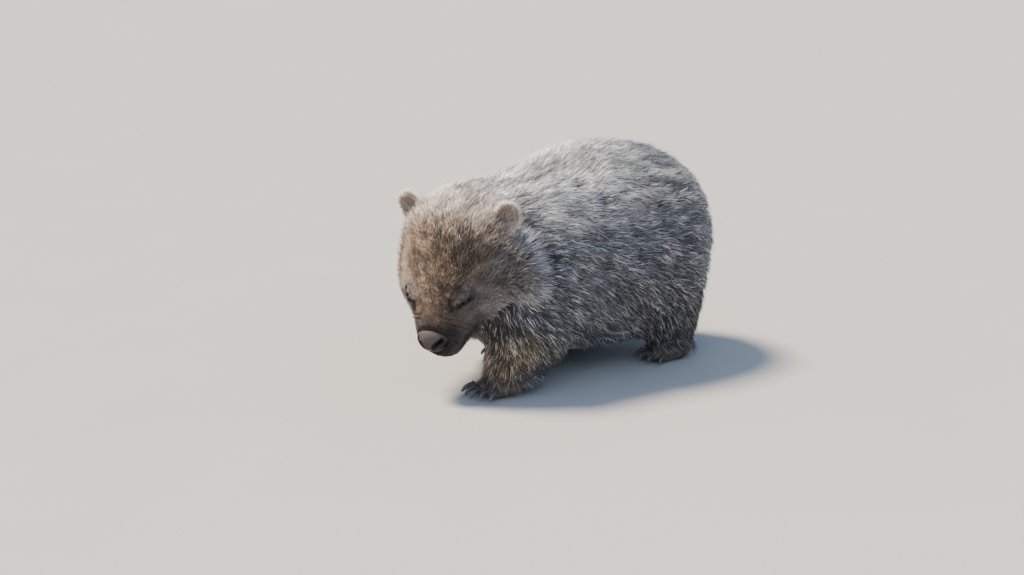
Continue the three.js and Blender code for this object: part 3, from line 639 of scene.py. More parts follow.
@dataclass(frozen=True)
class Markings:
    """The colours of the animal from place to place, the same for skin and coat, with painted sunlight and
    painted shade laid into them.
    """

    # back is painted sunlight: the near-white that the coat turns to where it faces up, and on the top of
    # the head.
    back: str = "#f6f2ed"
    # flank, shoulder, belly and patch are the coat's grey-brown with painted blue skylight shade in them.
    flank: str = "#6f7681"
    belly_in_shade: str = "#4c5056"
    patch: str = "#33353c"
    shoulder: str = "#767d88"
    leg: str = "#3b3836"
    forearm: str = "#7c6a4b"
    paw: str = "#8a776a"
    crown: str = "#9c8267"
    forehead: str = "#543f2d"
    fleck: str = "#ab9168"
    speck: str = "#2b211b"
    temple: str = "#85786f"
    cheek: str = "#6f6c6c"
    fringe: str = "#979da6"
    throat: str = "#857552"
    muzzle: str = "#746558"
    lips: str = "#3b3432"
    eye_line_and_slit_shade: str = "#191412"
    brow: str = "#9c9188"
    pale_hair: str = "#e9e3da"
    dark_hair: str = "#2c2725"

    def at(self, shape: Shape) -> np.ndarray:
        """The colour at each place, as rows of linear red, green and blue.

        Args:
            shape: the places.

        Returns:
            The rows of colours.
        """
        left, ahead, up = shape.body_mm.T
        # Painted sunlight: the coat is painted near-white where it faces up, less so towards the rump.
        top = smooth(shape.normals[:, 2] + 0.3 * (value_noise(shape.points, 0.05, 3) - 0.5), 0.15, 0.82)
        top *= 1.0 - 0.65 * smooth(-ahead, 60.0, 240.0)
        fore = smooth(ahead, -40.0, 90.0)
        leg = shape.leg * smooth(-up, -150.0, -70.0)
        # Dark mottling: partly the coat's own darker patches, partly painted shade where the coat parts,
        # weaker on the sunlit top.
        spots = smooth(value_noise(shape.points * (1.0, 0.6, 1.3), 0.017, 7), 0.55, 0.74)
        spots *= smooth(value_noise(shape.points, 0.08, 8), 0.25, 0.6)
        throat = smooth(ahead, 110.0, 150.0) * smooth(-up, -190.0, -120.0) * (1.0 - shape.leg)
        golden = leg * smooth(-shape.normals[:, 1], 0.1, 0.7) * smooth(ahead, 20.0, 90.0)
        foot = shape.paw * smooth(-up, -34.0, -20.0)
        layers = (
            (self.back, top),
            (self.shoulder, fore * (1.0 - top) * 0.8),
            # Painted shade: darker and bluer down the lower body.
            (self.belly_in_shade, smooth(-up, -230.0, -90.0) * (1.0 - 0.5 * fore) * (1.0 - top)),
            (self.crown, smooth(shape.edge, 0.02, 0.6) * (1.0 - shape.low()) * 0.5),
            (self.patch, spots * 0.9 * (1.0 - 0.65 * top)),
            (self.throat, throat * 0.8),
            (self.patch, shape.behind_ruff() * 0.8),
            (self.leg, leg),
            (self.forearm, golden * 0.85),
            (self.paw, foot),
        )
        flank = np.tile(rgb(self.flank), (len(left), 1))
        return mix(paint(flank, layers), self.on_head(shape), smooth(shape.head, 0.35, 0.65))

    def on_head(self, shape: Shape) -> np.ndarray:
        """The colours of the head alone.

        Args:
            shape: the places.

        Returns:
            The rows of colours.
        """
        across, down_face, out = shape.head_mm.T
        cheek = shape.cheek()
        eye = shape.eye_distance()
        middle = 1.0 - smooth(np.abs(across), 34.0, 82.0)
        band = smooth(down_face, 70.0, 105.0) * (1.0 - smooth(down_face, 155.0, 182.0)) * middle
        temple = np.exp(-(((np.abs(across) - 50.0 - 0.5 * (150.0 - down_face)) / 17.0) ** 2))
        temple *= smooth(down_face, 40.0, 80.0) * (1.0 - smooth(down_face, 140.0, 158.0))
        grains = value_noise(shape.points, 0.0023, 21)
        brow = np.exp(-(((eye - 20.0) / 5.0) ** 2)) * smooth(-down_face, -140.0, -132.0) * cheek
        throat = smooth(-shape.head_normals[:, 2], 0.45, 0.8) * (1.0 - shape.muzzle())
        lips = smooth(-shape.nose_distance(), -1.75, -1.2) * smooth(-out, 8.0, 26.0)
        layers = (
            # Painted sunlight carried onto the top of the head behind the brow, in the back colour.
            (self.back, (1.0 - smooth(down_face, -15.0, 60.0)) * (1.0 - cheek) * 0.6),
            (self.forehead, smooth(down_face, 30.0, 105.0) * middle * (1.0 - 0.6 * cheek)),
            (self.speck, band * smooth(-grains, -0.42, -0.3) * 0.85),
            (self.fleck, band * smooth(grains, 0.66, 0.8) * 0.85),
            (self.cheek, cheek * 0.85),
            (self.temple, temple * 0.75),
            # Painted shade round the sunken eye.
            (self.patch, (1.0 - smooth(eye, 13.0, 28.0)) * 0.55),
            (self.muzzle, shape.muzzle() * (1.0 - band) * 0.8),
            (self.throat, throat * 0.7),
            (self.fringe, shape.ruff() * 0.8),
            (self.lips, np.maximum(lips, smooth(-out, 44.0, 62.0) * shape.muzzle()) * 0.95),
            (self.brow, brow * 0.9),
            (self.lips, (1.0 - smooth(shape.nose_distance(), 1.02, 1.3)) * 0.85),
        )
        return paint(np.tile(rgb(self.crown), (len(across), 1)), layers)

    def on_tufts(self, shape: Shape, chance: np.random.Generator) -> np.ndarray:
        """The colours at the roots of tufts, some of them with pale hair and some with dark.

        Args:
            shape: the places of the roots.
            chance: the source of random differences.

        Returns:
            The rows of colours.
        """
        pick = chance.random(len(shape.points))
        bare = np.maximum(shape.muzzle(), shape.paw)
        pale = smooth(pick, 0.68, 0.95) * (0.72 - 0.45 * bare)
        pale *= 1.0 - 0.55 * shape.head * smooth(shape.head_mm[:, 1], 50.0, 100.0)
        dark = smooth(-pick, -0.28, -0.08) * 0.62
        return paint(self.at(shape), ((self.pale_hair, pale), (self.dark_hair, dark)))


@dataclass(frozen=True)
class CoatFinish:
    """Wombat hair: coarse, matt guard hair, dark at the root and paler to the tip."""

    name: str = "guard_hair"
    root_share: float = 0.33
    tip_share: float = 1.48
    pale_from: float = 0.8
    streaks_per_metre: float = 900.0
    streak_share: float = 0.25
    roughness: float = 0.72
    gloss: float = 0.25
    sheen: float = 0.12

    def material(self) -> bpy.types.Material:
        """Builds the material, which reads the markings, the place along a tuft and its tone.

        Returns:
            The material.
        """
        material, tree, shader = new_material(self.name)
        colour = add_node(tree, "ShaderNodeAttribute", {"attribute_name": "markings"})
        along = add_node(tree, "ShaderNodeAttribute", {"attribute_name": "along"})
        tone = add_node(tree, "ShaderNodeAttribute", {"attribute_name": "tone"})
        shade = add_node(tree, "ShaderNodeMapRange", Value=along.outputs["Fac"], From_Max=self.pale_from,
                         To_Min=self.root_share, To_Max=self.tip_share)
        # Hairs are some 0.1 mm thick, too fine to show, so the streaks are about 1.1 mm wide.
        place = add_node(tree, "ShaderNodeTexCoord")
        grain = add_node(tree, "ShaderNodeTexNoise", Vector=place.outputs["Object"],
                         Scale=self.streaks_per_metre, Detail=2.0)
        streak = add_node(tree, "ShaderNodeMapRange", Value=grain.outputs["Fac"],
                          To_Min=1.0 - self.streak_share, To_Max=1.0 + self.streak_share)
        toned = add_node(tree, "ShaderNodeMath", {"operation": "MULTIPLY"}, _0=shade.outputs[0],
                         _1=tone.outputs["Fac"])
        streaked = add_node(tree, "ShaderNodeMath", {"operation": "MULTIPLY"}, _0=toned.outputs[0],
                            _1=streak.outputs[0])
        tinted = add_node(tree, "ShaderNodeVectorMath", {"operation": "SCALE"}, _0=colour.outputs["Color"],
                          Scale=streaked.outputs[0])
        set_inputs(shader, Base_Color=tinted.outputs[0], Roughness=self.roughness,
                   Specular_IOR_Level=self.gloss, Sheen_Weight=self.sheen, Sheen_Roughness=0.5)
        return material


@dataclass(frozen=True)
class SkinFinish:
    """Hide with short underfur: matt, finely rough, in the colours of the coat but darker."""

    name: str = "underfur"
    share: float = 0.42
    spread: float = 0.4
    hair_mm: float = 1.6
    bump: float = 0.6
    bump_mm: float = 1.0
    roughness: float = 0.85
    gloss: float = 0.2

    def material(self) -> bpy.types.Material:
        """Builds the material, with a fine grain that stands for the underfur.

        Returns:
            The material.
        """
        material, tree, shader = new_material(self.name)
        colour = add_node(tree, "ShaderNodeAttribute", {"attribute_name": "markings"})
        place = add_node(tree, "ShaderNodeTexCoord")
        grain = add_node(tree, "ShaderNodeTexNoise", Vector=place.outputs["Object"],
                         Scale=1.0 / (self.hair_mm * MM), Detail=3.0, Roughness=0.7)
        shade = add_node(tree, "ShaderNodeMapRange", Value=grain.outputs["Fac"],
                         To_Min=self.share * (1.0 - self.spread), To_Max=self.share * (1.0 + self.spread))
        tinted = add_node(tree, "ShaderNodeVectorMath", {"operation": "SCALE"}, _0=colour.outputs["Color"],
                          Scale=shade.outputs[0])
        bump = add_node(tree, "ShaderNodeBump", Height=grain.outputs["Fac"], Strength=self.bump,
                        Distance=self.bump_mm * MM)
        set_inputs(shader, Base_Color=tinted.outputs[0], Normal=bump.outputs[0], Roughness=self.roughness,
                   Specular_IOR_Level=self.gloss)
        return material


@dataclass(frozen=True)
class NoseFinish:
    """Bare rhinarium: tough, finely pebbled skin, dry on top and damp round the nostrils."""

    name: str = "rhinarium_skin"
    # The pad's dark grey: top is painted light on its upper side, low is painted shade beneath it and in
    # the nostrils.
    top: str = "#5a504c"
    low: str = "#0b0909"
    pebble_mm: float = 2.0
    blotches_per_metre: float = 220.0
    bump: float = 0.9
    bump_mm: float = 0.7
    damp_roughness: float = 0.4
    dry_roughness: float = 0.75
    gloss: float = 0.35

    def material(self) -> bpy.types.Material:
        """Builds the material, with round pebbles, painted light on top and painted shade on the underside
        and in the nostrils.

        Returns:
            The material.
        """
        material, tree, shader = new_material(self.name)
        shade = add_node(tree, "ShaderNodeAttribute", {"attribute_name": "shade"})
        place = add_node(tree, "ShaderNodeTexCoord")
        # The real pebbles are under a millimetre wide, and are drawn as coarse as they need to show.
        pebbles = add_node(tree, "ShaderNodeTexVoronoi", {"feature": "DISTANCE_TO_EDGE"},
                           Vector=place.outputs["Object"], Scale=1.0 / (self.pebble_mm * MM))
        blotch = add_node(tree, "ShaderNodeTexNoise", Vector=place.outputs["Object"],
                          Scale=self.blotches_per_metre, Detail=4.0)
        part = add_node(tree, "ShaderNodeMath", {"operation": "MULTIPLY_ADD"}, _0=blotch.outputs["Fac"],
                        _1=0.5, _2=shade.outputs["Fac"])
        level = add_node(tree, "ShaderNodeMapRange", Value=part.outputs[0], From_Min=0.3, From_Max=1.25)
        colour = add_node(tree, "ShaderNodeMix", {"data_type": "RGBA"}, _0=level.outputs[0],
                          _6=linear(self.low), _7=linear(self.top))
        bump = add_node(tree, "ShaderNodeBump", Height=pebbles.outputs["Distance"], Strength=self.bump,
                        Distance=self.bump_mm * MM)
        rough = add_node(tree, "ShaderNodeMapRange", Value=shade.outputs["Fac"],
                         To_Min=self.damp_roughness, To_Max=self.dry_roughness)
        set_inputs(shader, Base_Color=colour.outputs[2], Normal=bump.outputs[0], Roughness=rough.outputs[0],
                   Specular_IOR_Level=self.gloss)
        return material


@dataclass(frozen=True)
class HornFinish:
    """Claw horn: keratin, blue-grey and worn paler at the tip, with fine lines along it."""

    name: str = "claw_horn"
    base: str = "#302e2f"
    tip: str = "#6d6a69"
    lines_per_metre: tuple[float, float, float] = (1500.0, 120.0, 1500.0)
    bump: float = 0.3
    bump_mm: float = 0.2
    roughness: float = 0.42
    ior: float = 1.55

    def material(self) -> bpy.types.Material:
        """Builds the material, with lines stretched along the way the claws point.

        Returns:
            The material.
        """
        material, tree, shader = new_material(self.name)
        along = add_node(tree, "ShaderNodeAttribute", {"attribute_name": "along"})
        place = add_node(tree, "ShaderNodeTexCoord")
        # Growth lines 0.7 mm apart and some 8 mm long, coarser than the real ones so that they show.
        stretch = add_node(tree, "ShaderNodeMapping", Vector=place.outputs["Object"],
                           Scale=self.lines_per_metre)
        lines = add_node(tree, "ShaderNodeTexNoise", Vector=stretch.outputs[0], Scale=1.0, Detail=3.0)
        part = add_node(tree, "ShaderNodeMath", {"operation": "MULTIPLY_ADD"}, _0=lines.outputs["Fac"],
                        _1=0.5, _2=along.outputs["Fac"])
        level = add_node(tree, "ShaderNodeMapRange", Value=part.outputs[0], From_Max=1.4)
        colour = add_node(tree, "ShaderNodeMix", {"data_type": "RGBA"}, _0=level.outputs[0],
                          _6=linear(self.base), _7=linear(self.tip))
        bump = add_node(tree, "ShaderNodeBump", Height=lines.outputs["Fac"], Strength=self.bump,
                        Distance=self.bump_mm * MM)
        set_inputs(shader, Base_Color=colour.outputs[2], Normal=bump.outputs[0], Roughness=self.roughness,
                   IOR=self.ior)
        return material


@dataclass(frozen=True)
class EyeFinish:
    """Eye: a wet, clear cornea over a near-black brown iris."""

    name: str = "wet_eye"
    iris: str = "#1c0f08"
    pupil: str = "#030202"
    roughness: float = 0.08
    ior: float = 1.38
    film_roughness: float = 0.03

    def material(self) -> bpy.types.Material:
        """Builds the material, with a darker pupil where the attribute says.

        Returns:
            The material.
        """
        material, tree, shader = new_material(self.name)
        pupil = add_node(tree, "ShaderNodeAttribute", {"attribute_name": "pupil"})
        colour = add_node(tree, "ShaderNodeMix", {"data_type": "RGBA"}, _0=pupil.outputs["Fac"],
                          _6=linear(self.iris), _7=linear(self.pupil))
        set_inputs(shader, Base_Color=colour.outputs[2], Roughness=self.roughness, IOR=self.ior,
                   Coat_Weight=1.0, Coat_Roughness=self.film_roughness)
        return material


@dataclass(frozen=True)
class FloorFinish:
    """Studio floor: matt pale grey paint, a little uneven."""

    name: str = "floor_paint"
    dark: str = "#c3c1bc"
    pale: str = "#cac8c3"
    clouds_per_metre: float = 3.0
    roughness: float = 0.9

    def material(self) -> bpy.types.Material:
        """Builds the material, with wide, faint clouds.

        Returns:
            The material.
        """
        material, tree, shader = new_material(self.name)
        place = add_node(tree, "ShaderNodeTexCoord")
        grain = add_node(tree, "ShaderNodeTexNoise", Vector=place.outputs["Object"],
                         Scale=self.clouds_per_metre, Detail=6.0)
        level = add_node(tree, "ShaderNodeMix", {"data_type": "RGBA"}, _0=grain.outputs["Fac"],
                         _6=linear(self.dark), _7=linear(self.pale))
        set_inputs(shader, Base_Color=level.outputs[2], Roughness=self.roughness)
        return material


def set_attribute(mesh: bpy.types.Mesh, name: str, values: np.ndarray) -> None:
    """Stores one number or one colour for each vertex.

    Args:
        mesh: the mesh.
        name: the attribute's name.
        values: a number or a row of red, green and blue for each vertex.
    """
    kind = "FLOAT" if values.ndim == 1 else "FLOAT_COLOR"
    attribute = mesh.attributes.new(name, kind, "POINT")
    if values.ndim == 1:
        attribute.data.foreach_set("value", values.astype(np.float32))
    else:
        rgba = np.concatenate([values, np.ones((len(values), 1))], axis=1)
        attribute.data.foreach_set("color", rgba.astype(np.float32).ravel())


def relax(points: np.ndarray, edges: np.ndarray, strength: np.ndarray, rounds: int) -> np.ndarray:
    """Moves each point towards the mean of its neighbours.

    Args:
        points: rows of values to smooth, places or others.
        edges: pairs of neighbours.
        strength: how far each goes, from 0 to 1.
        rounds: how many times.

    Returns:
        The smoothed rows.
    """
    count = len(points)
    first, second = edges.T
    degree = np.maximum(np.bincount(first, minlength=count) + np.bincount(second, minlength=count), 1)
    moved = points.copy()
    for _ in range(rounds):
        for column in range(moved.shape[1]):
            values = moved[:, column]
            total = np.bincount(first, weights=values[second], minlength=count)
            total += np.bincount(second, weights=values[first], minlength=count)
            moved[:, column] = values + (total / degree - values) * strength
    return moved


def edges_of(mesh: bpy.types.Mesh) -> np.ndarray:
    """The mesh's edges as pairs.

    Args:
        mesh: the mesh.

    Returns:
        Two vertex numbers for each edge.
    """
    flat = np.empty(len(mesh.edges) * 2, dtype=np.int32)
    mesh.edges.foreach_get("vertices", flat)
    return flat.reshape(-1, 2)


def grid_piece(name: str, rows: np.ndarray, ring: bool = False) -> bpy.types.Object:
    """Makes a closed mesh from rows of points that go round.

    Args:
        name: the piece's name.
        rows: points by row and by place round the row.
        ring: whether the last row joins the first; otherwise both ends are capped.

    Returns:
        The new object.
    """
    count, round_count = rows.shape[:2]
    bm = bmesh.new()
    verts = [[bm.verts.new(point) for point in row] for row in rows]
    for index in range(count if ring else count - 1):
        near, far = verts[index], verts[(index + 1) % count]
        for place in range(round_count):
            after = (place + 1) % round_count
            bm.faces.new((near[place], near[after], far[after], far[place]))
    if not ring:
        bm.faces.new(list(reversed(verts[0])))
        bm.faces.new(verts[-1])
    bmesh.ops.recalc_face_normals(bm, faces=bm.faces)
    mesh = bpy.data.meshes.new(name)
    bm.to_mesh(mesh)
    bm.free()
    mesh.shade_smooth()
    return new_object(name, mesh)


@dataclass
class Scatter:
    """Random places spread over a mesh, with the corners and shares that blend values to them."""

    corners: np.ndarray
    loops: np.ndarray
    share: np.ndarray

    @classmethod
    def over(cls, mesh: bpy.types.Mesh, count: int, chance: np.random.Generator,
             weight: np.ndarray | None = None) -> "Scatter":
        """Spreads places over the mesh's triangles.

        Args:
            mesh: the mesh to spread them over.
            count: how many places.
            chance: the source of random differences.
            weight: how dense they are at each vertex; even where it is left out.

        Returns:
            The places.
        """
        mesh.calc_loop_triangles()
        corners = np.empty(len(mesh.loop_triangles) * 3, dtype=np.int32)
        loops = np.empty_like(corners)
        mesh.loop_triangles.foreach_get("vertices", corners)
        mesh.loop_triangles.foreach_get("loops", loops)
        corners, loops = corners.reshape(-1, 3), loops.reshape(-1, 3)
        points = points_of(mesh)
        a, b, c = (points[corners[:, i]] for i in range(3))
        size = np.linalg.norm(np.cross(b - a, c - a), axis=1)
        if weight is not None:
            size = size * weight[corners].mean(axis=1)
        steps = (np.arange(count) + chance.random(count)) / count
        chosen = np.searchsorted(np.cumsum(size) / size.sum(), steps).clip(0, len(size) - 1)
        first, second = chance.random((2, count))
        over = first + second > 1.0
        first, second = np.where(over, 1.0 - first, first), np.where(over, 1.0 - second, second)
        share = np.stack([1.0 - first - second, first, second], axis=1)
        return cls(corners[chosen], loops[chosen], share)

    def blend(self, values: np.ndarray) -> np.ndarray:
        """The values at the places, from rows for each vertex."""
        return np.einsum("nk,nkd->nd", self.share, values[self.corners])

    def blend_loops(self, values: np.ndarray) -> np.ndarray:
        """The values at the places, from rows for each corner of a face."""
        return np.einsum("nk,nkd->nd", self.share, values[self.loops])


@dataclass
class Tufts:
    """Tufts to be grown as one piece, one row for each."""

    shape: Shape
    unwrap: np.ndarray
    way: np.ndarray
    length: np.ndarray
    height: np.ndarray
    width: np.ndarray
    colour: np.ndarray
    tone: np.ndarray
    lean: np.ndarray
    bent: bool = True
    sunk: np.ndarray | float = 0.8 * MM
    patch: float = 0.003
    turn_spread: float = 0.15
    roll_spread: float = 0.5
    sway_spread: float = 0.1

    def grow(self, name: str, slot: str, finish: bpy.types.Material, chance: np.random.Generator) -> None:
        """Builds the tufts as closed, three-sided, tapered locks.

        Args:
            name: the piece's name.
            slot: the record's material slot.
            finish: the coat's material.
            chance: the source of random differences.
        """
        count = len(self.length)
        stations, girths = ([0.0, 0.42], [0.75, 1.0]) if self.bent else ([0.0], [1.0])
        reach = np.sqrt(np.maximum(self.length**2 - self.height**2, (0.4 * self.length) ** 2))
        normal = self.shape.normals
        turn = chance.normal(0.0, self.turn_spread, count)
        lay = unit(self.way - normal * np.sum(self.way * normal, axis=1)[:, None])
        aside = np.cross(normal, lay)
        lay = lay * np.cos(turn)[:, None] + aside * np.sin(turn)[:, None]
        aside = np.cross(normal, lay)
        roll = chance.normal(0.0, self.roll_spread, count)
        broad = aside * np.cos(roll)[:, None] + normal * np.sin(roll)[:, None]
        ridge = np.cross(lay, broad)
        sway = chance.normal(0.0, self.sway_spread, count) * self.length
        rows = []
        for station, girth in zip([*stations, 1.0], [*girths, 0.0]):
            rise = self.height * (1.0 - (1.0 - station) ** 2) - (self.sunk if station == 0.0 else 0.0)
            middle = self.shape.points + lay * (reach * station)[:, None] + normal * rise[:, None]
            middle += aside * (sway * station**2)[:, None] + self.lean * station**1.5
            middle[:, 2] = np.maximum(middle[:, 2], 0.5 * MM)
            half = (self.width * girth / 2)[:, None]
            if station == 1.0:
                rows.append(middle)
            else:
                rows.extend([middle + broad * half, middle + ridge * half * 0.8, middle - broad * half])
        self.write_mesh(name, slot, np.stack(rows, axis=1), [*stations, 1.0], finish)

    def write_mesh(self, name: str, slot: str, points: np.ndarray, stations: list[float],
                   finish: bpy.types.Material) -> None:
        """Turns the rows of corners into a mesh with its attributes and unwrap.

        Args:
            name: the piece's name.
            slot: the record's material slot.
            points: for each tuft, its corners ring by ring and its tip.
            stations: how far along a tuft each ring is, and the tip.
            finish: the coat's material.
        """
        count, corners = points.shape[:2]
        rings = len(stations) - 1
        faces = [(0, 2, 1)]
        for ring in range(rings - 1):
            for side in range(3):
                near, far = ring * 3 + side, ring * 3 + (side + 1) % 3
                faces += [(near, far, far + 3), (near, far + 3, near + 3)]
        tip = corners - 1
        faces += [(tip - 3 + side, tip - 3 + (side + 1) % 3, tip) for side in range(3)]
        index = (np.array(faces)[None] + (np.arange(count) * corners)[:, None, None]).reshape(-1, 3)
        mesh = bpy.data.meshes.new(name)
        mesh.vertices.add(count * corners)
        mesh.vertices.foreach_set("co", points.reshape(-1).astype(np.float32))
        mesh.loops.add(index.size)
        mesh.loops.foreach_set("vertex_index", index.ravel().astype(np.int32))
        mesh.polygons.add(len(index))
        mesh.polygons.foreach_set("loop_start", np.arange(0, index.size, 3, dtype=np.int32))
        mesh.polygons.foreach_set("use_smooth", np.ones(len(index), dtype=bool))
        mesh.update(calc_edges=True)
        along = np.repeat(stations, [3] * rings + [1])
        across = np.array([0.5, 0.0, -0.5] * rings + [0.0])
        low, high = self.unwrap.min(axis=0), self.unwrap.max(axis=0)
        place = 0.01 + 0.98 * (self.unwrap - low) / np.maximum(high - low, 1e-6)
        patch = np.stack([across, along - 0.5], axis=1) * self.patch
        unwrap = (place[:, None, :] + patch[None]).reshape(-1, 2)
        layer = mesh.uv_layers.new(name="OFBake")
        layer.data.foreach_set("uv", unwrap[index.ravel()].ravel().astype(np.float32))
        set_attribute(mesh, "along", np.tile(along, count))
        set_attribute(mesh, "tone", np.repeat(self.tone, corners))
        set_attribute(mesh, "markings", np.repeat(self.colour, corners, axis=0))
        finish_piece(new_object(name, mesh), finish, slot)


@dataclass(frozen=True)
class ClawAxis:
    """Where a claw leaves its toe and where its tip is, measured on the solids."""

    base: np.ndarray
    tip: np.ndarray

    @classmethod
    def of_node(cls, name: str) -> "ClawAxis":
        """Finds the two ends of a claw's solid along its longest way, the lower end as the tip.

        Args:
            name: the claw's node.

        Returns:
            The claw's axis.
        """
        points = points_of(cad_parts[name].data)
        middle = points.mean(axis=0)
        way = np.linalg.svd(points - middle, full_matrices=False)[2][0]
        way = way if way[2] < 0.0 else -way
        along = (points - middle) @ way
        near, far = along.min(), along.max()
        base = points[along < near + 0.12 * (far - near)].mean(axis=0)
        tip = points[along > far - 0.06 * (far - near)].mean(axis=0)
        return cls(base, tip)


def claw_nodes() -> list[str]:
    """The names of the claws' nodes, in order."""
    return sorted(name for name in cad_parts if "_claw_" in name)


@dataclass
class Skin:
    """The one skin over all the flesh, inside the solids by the depth of the coat."""

    marks: Landmarks
    lie: CoatLie
    markings: Markings
    voxel: float = 4.0 * MM
    body_growth: float = 4.0 * MM
    paw_growth: float = 0.7 * MM
    toe_radii_mm: tuple[float, float, float] = (6.6, 11.0, 7.4)
    fine_from_mm: tuple[tuple[float, float], ...] = ((80.0, -70.0), (158.0, -80.0))
    edge_rounds: int = 140
    mask_rounds: int = 12
    settle_rounds: int = 10
    ruff_rounds: int = 60
    sink_steps: int = 4
    mouth_middle_mm: tuple[float, float, float] = (0.0, 166.0, -66.0)
    mouth_turn: float = math.radians(96.0)
    creases_mm: tuple[tuple[float, float], ...] = ((177.5, 1.2), (184.5, 0.8))
    lid_room_mm: float = 3.0
    piece: bpy.types.Object = field(init=False)
    masks: np.ndarray = field(init=False)

    def build(self) -> None:
        """Makes the skin's mesh and keeps it with its masks."""
        copies = [copy_of_node(name, f"flesh_{name}") for name in FLESH]
        for name, copy in zip(FLESH, copies):
            growth = self.paw_growth if name in PAWS else self.body_growth
            move_points(copy.data, points_of(copy.data) + normals_of(copy.data) * growth)
        copies += [self.toe(name) for name in claw_nodes()]
        deselect_all()
        for copy in copies:
            copy.select_set(True)
        bpy.context.view_layer.objects.active = copies[0]
        bpy.ops.object.join()
        self.piece = copies[0]
        self.piece.name = "skin"
        apply_modifier(self.piece, "REMESH", mode="VOXEL", voxel_size=self.voxel)
        for noseward, out in self.fine_from_mm:
            self.refine(noseward, out)
        self.settle()
        self.sink()

    def toe(self, name: str) -> bpy.types.Object:
        """A rounded toe that holds the root of a claw.

        Args:
            name: the claw's node.

        Returns:
            The toe, as a new object.
        """
        axis = ClawAxis.of_node(name)
        heading = unit((axis.tip - axis.base) * (1.0, 1.0, 0.0))
        aside = np.cross(heading, [0.0, 0.0, 1.0])
        bpy.ops.mesh.primitive_uv_sphere_add(segments=20, ring_count=14, radius=1.0)
        toe = bpy.context.object
        local = points_of(toe.data) * np.array(self.toe_radii_mm) * MM
        middle = axis.base - heading * 4.5 * MM
        middle[2] = max(middle[2] + 0.5 * MM, (self.toe_radii_mm[2] + 0.5) * MM)
        turn = np.stack([aside, heading, [0.0, 0.0, 1.0]])
        move_points(toe.data, middle + local @ turn)
        return toe

    def refine(self, noseward: float, out: float) -> None:
        """Splits the faces where the head's folds will be.

        Args:
            noseward: how far down the face they begin, in millimetres.
            out: how far out of the forehead they begin, in millimetres.
        """
        bm = bmesh.new()
        bm.from_mesh(self.piece.data)
        bm.verts.ensure_lookup_table()
        places = np.array([vert.co for vert in bm.verts])
        on_head = self.marks.on_head(places)
        near = (on_head[:, 1] > noseward) & (on_head[:, 1] < 260.0) & (on_head[:, 2] > out)
        edges = [edge for edge in bm.edges if near[edge.verts[0].index] and near[edge.verts[1].index]]
        bmesh.ops.subdivide_edges(bm, edges=edges, cuts=1, use_grid_fill=True)
        bm.to_mesh(self.piece.data)
        bm.free()

    def node_of_each(self, points: np.ndarray) -> np.ndarray:
        """The number of the nearest flesh node for each place, in the order of FLESH.

        Args:
            points: rows of x, y and z.

        Returns:
            A whole number for each place.
        """
        corners, faces, owners = [], [], []
        for number, name in enumerate(FLESH):
            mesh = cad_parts[name].data
            start = len(corners)
            corners.extend(vert.co.copy() for vert in mesh.vertices)
            faces.extend([start + index for index in face.vertices] for face in mesh.polygons)
            owners.extend([number] * len(mesh.polygons))
        tree = BVHTree.FromPolygons(corners, faces)
        return np.array([owners[tree.find_nearest(Vector(point))[2]] for point in points])

    def settle(self) -> None:
        """Smooths away the steps and locks of the solids and softens the masks."""
        mesh = self.piece.data
        points = points_of(mesh)
        edges = edges_of(mesh)
        owner = self.node_of_each(points)
        head = np.isin(owner, [FLESH.index(name) for name in ("head", "snout")]).astype(float)
        leg = np.isin(owner, [FLESH.index(name) for name in LIMBS]).astype(float)
        paw = np.isin(owner, [FLESH.index(name) for name in PAWS]).astype(float)
        even = np.ones(len(points))
        edge = relax(head[:, None], edges, even, self.edge_rounds)[:, 0]
        soft = relax(np.stack([head, leg, paw], axis=1), edges, even, self.mask_rounds)
        on_head = self.marks.on_head(points)
        low = smooth(-on_head[:, 2], 22.0, 60.0) * (1.0 - smooth(on_head[:, 1], 168.0, 190.0))
        rooted = soft[:, 0] + (smooth(edge, 0.68, 0.84) - soft[:, 0]) * low
        self.masks = np.column_stack([rooted, edge, soft[:, 1:]])
        ruff = smooth(-on_head[:, 2], 30.0, 80.0) * soft[:, 0] * (1.0 - smooth(on_head[:, 1], 130.0, 165.0))
        border = smooth(edge, 0.08, 0.3) * (1.0 - smooth(edge, 0.9, 0.98))
        body = 1.0 - soft[:, 0] - soft[:, 2]
        rough = np.clip(ruff + border + soft[:, 1] * 0.6 + body * 0.5, 0.0, 1.0)
        points = relax(points, edges, 0.5 - 0.38 * soft[:, 2], self.settle_rounds)
        points = relax(points, edges, rough * 0.7, self.ruff_rounds)
        move_points(mesh, points)

    def shape(self) -> Shape:
        """The skin's vertices with their masks."""
        mesh = self.piece.data
        return Shape(points_of(mesh), normals_of(mesh), *self.masks.T, self.marks)

    def sink(self) -> None:
        """Moves the skin in by the depth of the coat in steps, draws its folds, and unwraps it."""
        mesh = self.piece.data
        edges = edges_of(mesh)
        shape = self.shape()
        paw = np.clip(shape.paw * 1.3, 0.0, 1.0)
        growth = self.body_growth + (self.paw_growth - self.body_growth) * paw
        depth = self.lie.depth(shape) + growth
        for _ in range(self.sink_steps):
            ways = unit(relax(normals_of(mesh), edges, 0.8 * (1.0 - shape.paw), self.settle_rounds))
            points = points_of(mesh) - ways * (depth / self.sink_steps)[:, None]
            points[:, 2] = np.maximum(points[:, 2], 0.4 * MM)
            move_points(mesh, relax(points, edges, 0.4 * (1.0 - 0.7 * shape.paw), 2))
        points = points_of(mesh) + normals_of(mesh) * self.folds(self.shape())[:, None]
        move_points(mesh, points)
        mesh.shade_smooth()
        make_active(self.piece)
        bpy.ops.object.mode_set(mode="EDIT")
        bpy.ops.mesh.select_all(action="SELECT")
        bpy.ops.uv.smart_project(angle_limit=math.radians(66.0), island_margin=0.002)
        bpy.ops.object.mode_set(mode="OBJECT")
        self.piece.data.uv_layers[0].name = "OFBake"

